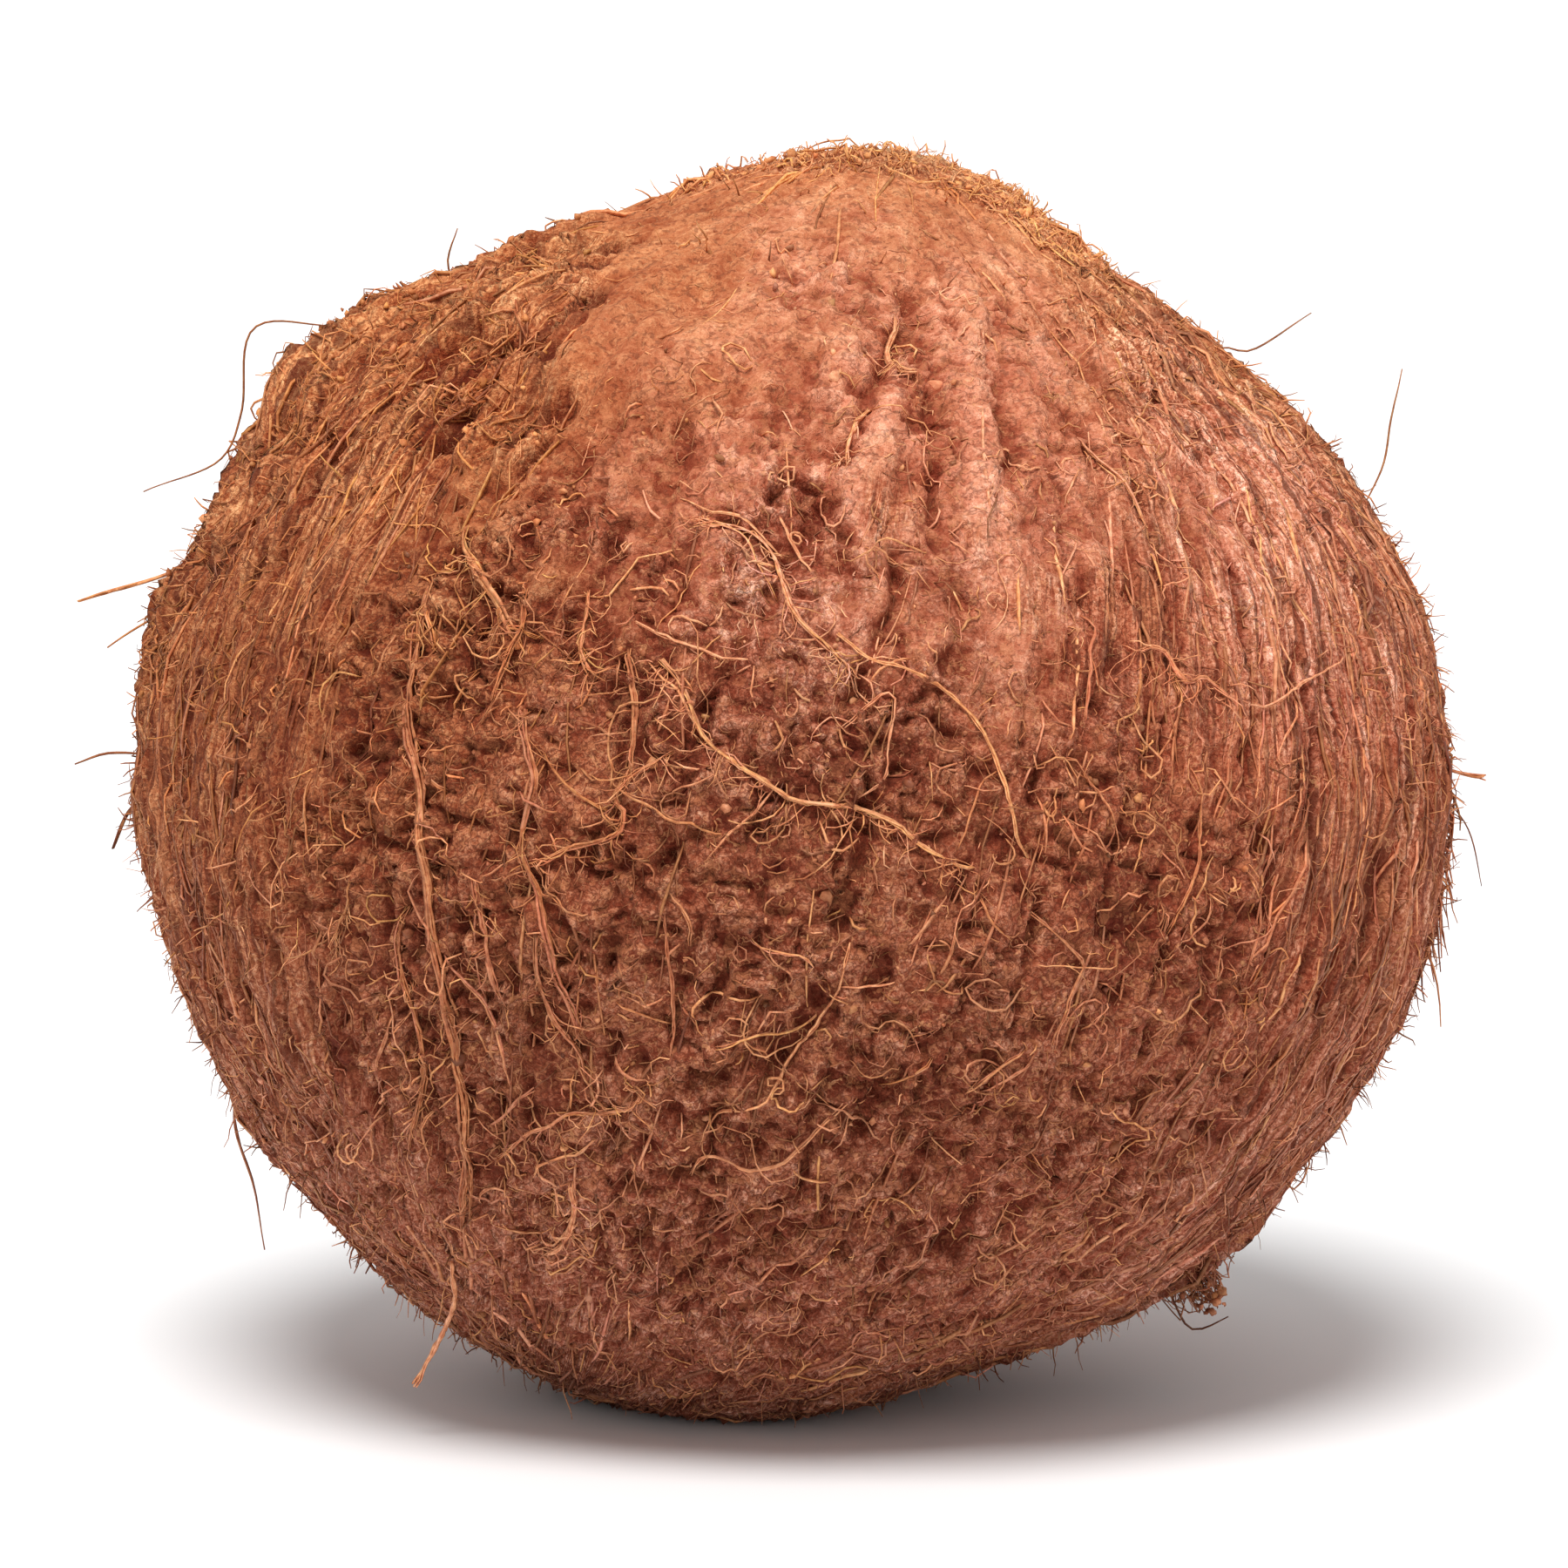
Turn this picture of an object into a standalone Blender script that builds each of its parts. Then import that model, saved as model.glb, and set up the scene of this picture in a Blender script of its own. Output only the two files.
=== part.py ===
"""A semi-husked coconut: one nut, wrapped in its coir, with ridges, grooves and loose strands.

Metres, +Z up. The origin is the centre of the small flat spot that the nut rests on.
The front of the nut faces -Y.
"""

import math
from itertools import product

import bmesh
import bpy
import numpy as np

MM = 0.001
NAME = "coconut"

# The nut's middle, above and beside the flat spot that it rests on, and its mean radius.
CENTRE = np.array([5.0, 0.0, 56.2]) * MM
MEAN_RADIUS = 58.0 * MM

# Outline: angle down from the top in degrees, then the radius in mm towards +X and towards -X.
OUTLINE = (
    (0, 57.0, 57.0),
    (10, 58.7, 55.0),
    (20, 57.6, 53.9),
    (30, 55.5, 55.2),
    (40, 54.9, 57.2),
    (50, 55.8, 57.9),
    (60, 57.6, 58.6),
    (75, 59.5, 58.9),
    (90, 60.0, 59.4),
    (105, 59.7, 58.7),
    (120, 58.2, 58.0),
    (135, 57.6, 57.6),
    (150, 56.0, 58.2),
    (165, 55.7, 59.0),
    (180, 57.4, 57.4),
)
OUTLINE_STEP = 2.5
OUTLINE_SOFTENING = 3

# The coir runs from the tuft at the top to the base, which lies low on the -X side.
TUFT = np.array([0.15, -0.03, 1.0])
BASE = np.array([-0.33, -0.20, -0.92])

# The body's mesh: its seams run along the fibres, one vertex on each ridge and one in each furrow.
RIDGES = 80
RINGS = 20
# Ridges: even ones, and uneven ones that fade in and out along the coir.
EVEN_HEIGHT = 0.5 * MM
UNEVEN_HEIGHT = 1.3 * MM
UNEVEN_RUN = 16.0 * MM
LUMP_HEIGHT = 0.9 * MM
LUMP_SIZE = 17.0 * MM
WORN_SIZE = 19.0 * MM

# Grooves torn into the coir: (points as (longitude, angle down) in degrees), width mm, depth mm.
GROOVES = (
    (((21, 33), (13, 42), (4, 58), (-3, 69), (-9, 82), (-10, 90)), 2.6, 1.9),
    (((17, 46), (15, 54), (14, 61)), 2.0, 1.2),
    (((27, 46), (24, 55), (23, 64)), 2.4, 1.5),
    (((10, 66), (7, 73), (5, 77)), 2.2, 1.3),
    (((-49, 41), (-44, 43), (-40, 43)), 2.0, 1.4),
)
# Pits where a tuft has come away: (longitude, angle down) in degrees, width mm, depth mm.
# The last one, of negative depth, is a clump that hangs on low on the +X side.
PITS = (
    ((-34, 50), 4.4, 2.2),
    ((-28, 50), 3.6, 1.6),
    ((-15, 35), 3.4, 1.6),
    ((14, 117), 4.4, 1.8),
    ((84, 141), 3.4, -2.6),
)

# Loose strands: a bundle is thick and lies along the coir; a hair is thin and stands away from it.
STRAND_SEED = 11
BUNDLES = 52
HAIRS = 26
BUNDLE_LENGTH = (20 * MM, 34 * MM)
BUNDLE_RADIUS = (0.45 * MM, 0.75 * MM)
BUNDLE_LIFT = (1.2 * MM, 1.9 * MM)
HAIR_LENGTH = (7 * MM, 14 * MM)
HAIR_RADIUS = 0.34 * MM
HAIR_LIFT = (2.6 * MM, 4.6 * MM)
TIP_SHARE = 0.45
ROOT_DEPTH = 2.2 * MM
CLEAR_OF_TABLE = 2.5 * MM

# The long strands that mark this nut: (longitude, angle down, height above the coir in mm), and a radius in mm.
LONG_STRANDS = (
    (((-35, 69, -2), (-34, 77, 1.6), (-32, 87, 1.8), (-31, 97, 1.5), (-30, 105, 1.7), (-30, 114, 1.9),
      (-34, 121, 1.6), (-37, 128, -2)), 0.8),
    (((-22, 77, -2), (-22, 84, 1.6), (-22, 90, 1.7), (-20, 96, 1.8), (-19, 105, 1.5), (-18, 109, -2)), 0.5),
    (((-12, 71, -2), (-9, 75, 1.5), (-7, 79, 1.8), (-4, 82, 1.8), (2, 84, 2.0), (6, 85, 1.8), (10, 88, 1.6),
      (15, 90, 1.5), (17, 92, -2)), 0.45),
    (((-5, 59, -2), (-1, 65, 1.6), (0, 69, 1.8), (3, 72, 1.6), (7, 75, -2)), 0.42),
    (((5, 73, -2), (10, 73, 1.6), (14, 77, 1.8), (16, 81, 1.7), (17, 85, 1.5), (19, 89, -2)), 0.42),
    (((31, 73, -2), (37, 77, 1.6), (43, 79, 1.8), (48, 78, 2.0), (54, 77, 1.6), (58, 76, -2)), 0.4),
    (((-22, 57, -2), (-24, 61, 1.6), (-27, 66, 1.8), (-28, 71, 1.6), (-29, 77, -2)), 0.6),
    (((-44, 132, -2), (-46, 136, 2.0), (-50, 139, 5.0), (-54, 141, 8.5)), 0.55),
)
# Wiry hairs that reach past the outline, given as the long strands are.
WIRY_HAIRS = (
    (((-89, 44, -2), (-90, 46, 1.5), (-90, 50, 5.7), (-91, 56, 3.0), (-91, 61, 2.6), (-90, 66, 7.0)), 0.34),
    (((-91, 70, -2), (-91, 73, 2.5), (-90, 76, 7.8)), 0.42),
    (((-91, 88, -2), (-91, 88, 3.0), (-91, 89, 6.2)), 0.34),
    (((-90, 91, -2), (-90, 93, 1.5), (-90, 96, 3.6)), 0.42),
    (((-88, 118, -2), (-89, 121, 1.8), (-89, 126, 3.0), (-89, 132, 7.2)), 0.38),
    (((89, 43, -2), (90, 45, 1.0), (90, 47, 2.5), (90, 48, 8.4)), 0.34),
    (((90, 65, -2), (90, 62, 3.4), (90, 59, 6.5), (90, 56, 10.4)), 0.34),
    (((92, 89, -2), (92, 90, 2.5), (91, 90, 4.0)), 0.6),
    (((89, 91, -2), (89, 94, 2.0), (90, 99, 4.5)), 0.34),
    (((88, 143, -2), (88, 144, 2.5), (88, 144, 5.2), (88, 141, 5.6)), 0.42),
)


def clear_scene():
    for obj in list(bpy.data.objects):
        bpy.data.objects.remove(obj)


def unit(vectors):
    return vectors / np.linalg.norm(vectors, axis=-1, keepdims=True)


def lattice(corner, seed):
    """A repeatable value from -1 to 1 for each whole-numbered corner."""
    mixed = corner[..., 0] * 374761393 + corner[..., 1] * 668265263 + corner[..., 2] * 1440662683
    mixed = (mixed + seed * 974634777) & 0xFFFFFFFF
    mixed = ((mixed ^ (mixed >> 13)) * 1274126177) & 0xFFFFFFFF
    mixed = mixed ^ (mixed >> 16)
    return (mixed & 0xFFFF) / 32767.5 - 1.0


def noise(points, seed):
    """Smooth noise from -1 to 1, one bump to each unit of space."""
    cell = np.floor(points).astype(np.int64)
    part = points - cell
    ease = part * part * part * (part * (part * 6 - 15) + 10)
    total = np.zeros(points.shape[:-1])
    for corner in product((0, 1), repeat=3):
        weight = np.prod(np.where(np.array(corner) == 1, ease, 1 - ease), axis=-1)
        total += weight * lattice(cell + np.array(corner), seed)
    return total


# The coir's poles aren't opposite each other. This map of the sphere takes two opposite poles to them.
TUFT_WAY, BASE_WAY = unit(TUFT), unit(BASE)
AXIS = unit(TUFT_WAY - BASE_WAY)
LEAN = unit(TUFT_WAY + BASE_WAY)
SIDE = np.cross(AXIS, LEAN)
SHIFT = math.tan(0.5 * math.asin(float(TUFT_WAY @ LEAN))) * LEAN


def moved(ways, shift):
    """Unit vectors after a conformal shift of the sphere."""
    summed = ways + shift
    return (1 - shift @ shift) * summed / (summed**2).sum(-1, keepdims=True) + shift


def from_coir(around, down):
    """Unit vectors at an angle around the coir's axis and an angle down it."""
    ring = np.cos(around)[..., None] * LEAN + np.sin(around)[..., None] * SIDE
    return moved(np.cos(down)[..., None] * AXIS + np.sin(down)[..., None] * ring, SHIFT)


def to_coir(ways):
    """(angle around the coir's axis, angle down it) of unit vectors."""
    back = moved(ways, -SHIFT)
    return np.arctan2(back @ SIDE, back @ LEAN), np.arccos(np.clip(back @ AXIS, -1, 1))


def from_degrees(longitude, down):
    """The unit vector at a longitude, from the front towards +X, and an angle down from the top."""
    around, fall = math.radians(longitude), math.radians(down)
    return np.array([math.sin(fall) * math.sin(around), -math.sin(fall) * math.cos(around), math.cos(fall)])


def softened(radii):
    """Radii at even steps from the top to the bottom, with their corners rounded over a few steps."""
    reach = OUTLINE_SOFTENING
    window = np.hanning(2 * reach + 3)[1:-1]
    mirrored = np.concatenate([radii[reach:0:-1], radii, radii[-2 : -2 - reach : -1]])
    return np.convolve(mirrored, window / window.sum(), mode="valid")


def outline_radius(ways):
    """The nut's radius without relief: the outline's two sides, blended round the nut."""
    down = np.degrees(np.arccos(np.clip(ways[..., 2], -1, 1)))
    angles, right, left = np.array(OUTLINE).T
    steps = np.arange(0, 180 + OUTLINE_STEP, OUTLINE_STEP)
    right, left = (np.interp(down, steps, softened(np.interp(steps, angles, side))) for side in (right, left))
    across = ways[..., 0] / np.maximum(np.hypot(ways[..., 0], ways[..., 1]), 1e-9)
    share = 0.5 + 0.5 * across
    share = share * share * (3 - 2 * share)
    return (left + (right - left) * share) * MM


def distance_to_route(ways, route):
    """Distance over the surface, in metres, from each unit vector to a route of points in degrees."""
    stops = np.array([from_degrees(*stop) for stop in route])
    nearest = np.full(ways.shape[:-1], np.inf)
    for start, end in zip(stops[:-1], stops[1:]):
        along = end - start
        share = np.clip(((ways - start) @ along) / (along @ along), 0, 1)
        gap = np.linalg.norm(ways - (start + share[..., None] * along), axis=-1)
        nearest = np.minimum(nearest, gap)
    return nearest * MEAN_RADIUS


def ridges(ways):
    """Height of the ridges that run along the coir and fade at its two ends."""
    around, down = to_coir(ways)
    seam_circle = np.stack([np.cos(around), np.sin(around)], -1) * RIDGES / math.pi
    along = down * (MEAN_RADIUS / UNEVEN_RUN)
    drift = math.pi * noise(np.concatenate([seam_circle / 6, along[..., None] / 2], -1), 8)
    uneven = noise(np.concatenate([seam_circle, along[..., None]], -1), 3)
    worn = 0.65 + 0.35 * noise(ways * (MEAN_RADIUS / WORN_SIZE), 5)
    crowding = np.minimum(1, 1.6 * np.sin(down))
    heights = EVEN_HEIGHT * np.cos(RIDGES * around + drift) + UNEVEN_HEIGHT * uneven
    return heights * worn * crowding


def lumps(ways):
    """Height of the broad forms above the outline: lumps, grooves and pits."""
    height = LUMP_HEIGHT * noise(ways * (MEAN_RADIUS / LUMP_SIZE), 2)
    for route, width, depth in GROOVES:
        height = height - depth * MM * np.exp(-((distance_to_route(ways, route) / (width * MM)) ** 2))
    for spot, width, depth in PITS:
        gap = np.linalg.norm(ways - from_degrees(*spot), axis=-1) * MEAN_RADIUS
        height = height - depth * MM * np.exp(-((gap / (width * MM)) ** 2))
    return height


def surface(ways, height):
    """Points in these directions from the nut's middle, at a height above its outline."""
    return CENTRE + ways * (outline_radius(ways) + height)[..., None]


def make_material():
    material = bpy.data.materials.new("coir")
    material.use_nodes = True
    shader = material.node_tree.nodes["Principled BSDF"]
    shader.inputs["Base Color"].default_value = (0.33, 0.13, 0.06, 1.0)
    shader.inputs["Roughness"].default_value = 0.9
    shader.inputs["Metallic"].default_value = 0.0
    return material


def make_body(collection):
    """The nut: a sphere whose seams are bent to follow the coir, raised by the relief, flat where it rests."""
    bpy.ops.mesh.primitive_uv_sphere_add(segments=2 * RIDGES, ring_count=RINGS, radius=1)
    body = bpy.context.object
    body.name = NAME
    mesh = body.data
    points = np.empty(len(mesh.vertices) * 3)
    mesh.vertices.foreach_get("co", points)
    points = unit(points.reshape(-1, 3))
    around = np.arctan2(points[:, 1], points[:, 0])
    down = np.arccos(np.clip(points[:, 2], -1, 1))
    ways = unit(from_coir(around, down))
    shaped = surface(ways, lumps(ways) + ridges(ways))
    shaped[:, 2] = np.maximum(shaped[:, 2], 0.0)
    mesh.vertices.foreach_set("co", shaped.ravel())
    mesh.update()
    for owner in list(body.users_collection):
        owner.objects.unlink(body)
    collection.objects.link(body)
    return body


def make_strand(name, points, radii, collection):
    """One strand: a four-sided tube through the points, closed at its ends, as a mesh."""
    data = bpy.data.curves.new(name, "CURVE")
    data.dimensions = "3D"
    data.bevel_depth = 1.0
    data.bevel_resolution = 0
    data.use_fill_caps = True
    spline = data.splines.new("POLY")
    spline.points.add(len(points) - 1)
    for place, point, radius in zip(spline.points, points, radii):
        place.co = (*point, 1.0)
        place.radius = radius
    curve = bpy.data.objects.new(name, data)
    bpy.context.scene.collection.objects.link(curve)
    graph = bpy.context.evaluated_depsgraph_get()
    mesh = bpy.data.meshes.new_from_object(curve.evaluated_get(graph))
    bpy.data.objects.remove(curve)
    weld_caps(mesh)
    strand = bpy.data.objects.new(name, mesh)
    collection.objects.link(strand)
    return strand


def weld_caps(mesh):
    work = bmesh.new()
    work.from_mesh(mesh)
    bmesh.ops.remove_doubles(work, verts=work.verts, dist=1e-6)
    bmesh.ops.recalc_face_normals(work, faces=work.faces)
    work.to_mesh(mesh)
    work.free()


def tapered(count, radius, tip_share, both_ends):
    """Radii along a strand, which narrows to a share of its radius at its tip, or at both ends."""
    places = np.linspace(0, 1, count)
    fullness = np.sin(math.pi * places) ** 0.6 if both_ends else 1 - places**1.5
    return radius * (tip_share + (1 - tip_share) * fullness)


def coir_way(way):
    """The direction over the sphere in which the coir runs at a unit vector."""
    around, down = to_coir(way)
    ahead = from_coir(np.array(around), np.array(down + 0.01))
    return unit(ahead - way)


def walk(start, length, heading, wander, steps, random):
    """Unit vectors along a route that follows the coir, turned by a heading and a seeded wander."""
    way, ways = unit(start), [unit(start)]
    turn = heading
    for _ in range(steps):
        run = coir_way(way)
        across = np.cross(way, run)
        turn += random.normal(0, wander)
        way = unit(way + (math.cos(turn) * run + math.sin(turn) * across) * length / steps / MEAN_RADIUS)
        ways.append(way)
    return np.array(ways)


def spread_starts(count, turn):
    """Unit vectors spread evenly over the sphere on a golden-angle spiral."""
    index = np.arange(count) + 0.5
    z = 1 - 2 * index / count
    around = math.pi * (3 - math.sqrt(5)) * index + turn
    flat = np.sqrt(1 - z * z)
    return np.stack([flat * np.cos(around), flat * np.sin(around), z], -1)


def lifted(ways, lifts):
    """Points at these heights above the coir's mean level: a strand's root and tip may lie under it."""
    return surface(ways, lumps(ways) + lifts)


def add_bundles(collection, random):
    """Loose bundles of coir all over the nut, which leave the surface and go back into it."""
    for number, start in enumerate(spread_starts(BUNDLES, 0.4)):
        steps = 6
        length = random.uniform(*BUNDLE_LENGTH)
        ways = walk(start, length, random.normal(0, 0.3), 0.16, steps, random)
        arch = np.sin(math.pi * np.linspace(0, 1, steps + 1)) ** 0.5
        peak = random.uniform(*BUNDLE_LIFT)
        points = lifted(ways, -ROOT_DEPTH + (peak + ROOT_DEPTH) * arch)
        if points[:, 2].min() < CLEAR_OF_TABLE:
            continue
        radii = tapered(steps + 1, random.uniform(*BUNDLE_RADIUS), TIP_SHARE, True)
        make_strand(f"bundle_{number}", points, radii, collection)


def add_hairs(collection, random):
    """Stiff hairs all over the nut, rooted in it and standing away with a bend."""
    for number, start in enumerate(spread_starts(HAIRS, 1.7)):
        steps = 5
        length = random.uniform(*HAIR_LENGTH)
        ways = walk(start, length, random.normal(0, 0.8), 0.35, steps, random)
        climb = np.linspace(0, 1, steps + 1)
        top = random.uniform(*HAIR_LIFT)
        points = lifted(ways, -ROOT_DEPTH + (top + ROOT_DEPTH) * climb**0.8)
        if points[:, 2].min() < CLEAR_OF_TABLE:
            continue
        make_strand(f"hair_{number}", points, tapered(steps + 1, HAIR_RADIUS, 0.6, False), collection)


def add_chosen(collection, name, strands):
    """The strands whose routes are given point by point."""
    for number, (route, radius) in enumerate(strands):
        ways = np.array([from_degrees(longitude, down) for longitude, down, _ in route])
        lifts = np.array([lift for _, _, lift in route]) * MM
        ends_in_coir = route[-1][2] < 0
        radii = tapered(len(route), radius * MM, 0.6, ends_in_coir)
        make_strand(f"{name}_{number}", lifted(ways, lifts), radii, collection)


def join_all(body, strands):
    """Joins every strand to the body in one solid, and removes the strands."""
    union = body.modifiers.new("join_strands", "BOOLEAN")
    union.operation = "UNION"
    union.operand_type = "COLLECTION"
    union.collection = strands
    union.solver = "MANIFOLD"
    graph = bpy.context.evaluated_depsgraph_get()
    joined = bpy.data.meshes.new_from_object(body.evaluated_get(graph))
    body.modifiers.clear()
    body.data = joined
    for strand in list(strands.objects):
        bpy.data.objects.remove(strand)
    bpy.data.collections.remove(strands)


def main():
    clear_scene()
    nut = bpy.data.collections.new("coconut_parts")
    strands = bpy.data.collections.new("strands")
    bpy.context.scene.collection.children.link(nut)
    bpy.context.scene.collection.children.link(strands)
    body = make_body(nut)
    random = np.random.default_rng(STRAND_SEED)
    add_bundles(strands, random)
    add_hairs(strands, random)
    add_chosen(strands, "long_strand", LONG_STRANDS)
    add_chosen(strands, "wiry_hair", WIRY_HAIRS)
    join_all(body, strands)
    body.data.materials.clear()
    body.data.materials.append(make_material())
    body.data.shade_smooth()
    body.data.set_sharp_from_angle(angle=math.radians(50))


main()
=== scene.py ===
"""Looks of a semi-husked coconut: pith, combed and matted coir, loose strands, wiry hairs and fuzz.

Metres, +Z up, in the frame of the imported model. The front of the nut faces -Y.
"""

import math
from itertools import product

import bmesh
import bpy
import numpy as np
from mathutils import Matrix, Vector


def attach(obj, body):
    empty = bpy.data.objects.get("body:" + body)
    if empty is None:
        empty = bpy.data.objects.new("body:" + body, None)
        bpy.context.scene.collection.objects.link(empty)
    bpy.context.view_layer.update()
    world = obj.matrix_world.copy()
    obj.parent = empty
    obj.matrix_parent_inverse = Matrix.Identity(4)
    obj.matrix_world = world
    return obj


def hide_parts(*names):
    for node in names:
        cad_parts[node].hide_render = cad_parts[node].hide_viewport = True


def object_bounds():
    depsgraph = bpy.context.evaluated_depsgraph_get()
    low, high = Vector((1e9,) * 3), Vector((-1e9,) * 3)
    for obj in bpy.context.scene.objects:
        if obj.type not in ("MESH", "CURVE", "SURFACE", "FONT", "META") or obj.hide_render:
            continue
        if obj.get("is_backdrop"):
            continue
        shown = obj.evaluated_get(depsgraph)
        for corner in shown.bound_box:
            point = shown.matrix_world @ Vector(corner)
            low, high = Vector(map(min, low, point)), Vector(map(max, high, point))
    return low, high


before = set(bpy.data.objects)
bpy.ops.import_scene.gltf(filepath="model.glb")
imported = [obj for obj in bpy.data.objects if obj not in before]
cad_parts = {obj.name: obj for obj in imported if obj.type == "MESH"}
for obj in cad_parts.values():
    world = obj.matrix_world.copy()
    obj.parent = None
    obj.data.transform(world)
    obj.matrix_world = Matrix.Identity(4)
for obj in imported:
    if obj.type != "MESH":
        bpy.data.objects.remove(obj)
CAD_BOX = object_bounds()

MM = 0.001

# Fibres stay this far above the floor, and reach at most this far past the CAD model's box.
FLOOR_GAP = 0.1 * MM
OVERHANG = 1.0 * MM

# The nut's form, as the CAD source has it.
CENTRE = np.array([5.0, 0.0, 56.2]) * MM
MEAN_RADIUS = 58.0 * MM
OUTLINE = (
    (0, 57.0, 57.0), (10, 58.7, 55.0), (20, 57.6, 53.9), (30, 55.5, 55.2), (40, 54.9, 57.2),
    (50, 55.8, 57.9), (60, 57.6, 58.6), (75, 59.5, 58.9), (90, 60.0, 59.4), (105, 59.7, 58.7),
    (120, 58.2, 58.0), (135, 57.6, 57.6), (150, 56.0, 58.2), (165, 55.7, 59.0), (180, 57.4, 57.4),
)
OUTLINE_STEP = 2.5
OUTLINE_SOFTENING = 3
TUFT = np.array([0.15, -0.03, 1.0])
BASE = np.array([-0.33, -0.20, -0.92])
RIDGES = 80
EVEN_HEIGHT = 0.5 * MM
UNEVEN_HEIGHT = 1.3 * MM
UNEVEN_RUN = 16.0 * MM
LUMP_HEIGHT = 0.9 * MM
LUMP_SIZE = 17.0
WORN_SIZE = 19.0
GROOVES = (
    (((21, 33), (13, 42), (4, 58), (-3, 69), (-9, 82), (-10, 90)), 2.6, 1.9),
    (((17, 46), (15, 54), (14, 61)), 2.0, 1.2),
    (((27, 46), (24, 55), (23, 64)), 2.4, 1.5),
    (((10, 66), (7, 73), (5, 77)), 2.2, 1.3),
    (((-49, 41), (-44, 43), (-40, 43)), 2.0, 1.4),
)
PITS = (
    ((-34, 50), 4.4, 2.2), ((-28, 50), 3.6, 1.6), ((-15, 35), 3.4, 1.6), ((14, 117), 4.4, 1.8),
    ((84, 141), 3.4, -1.8),
)

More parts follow.
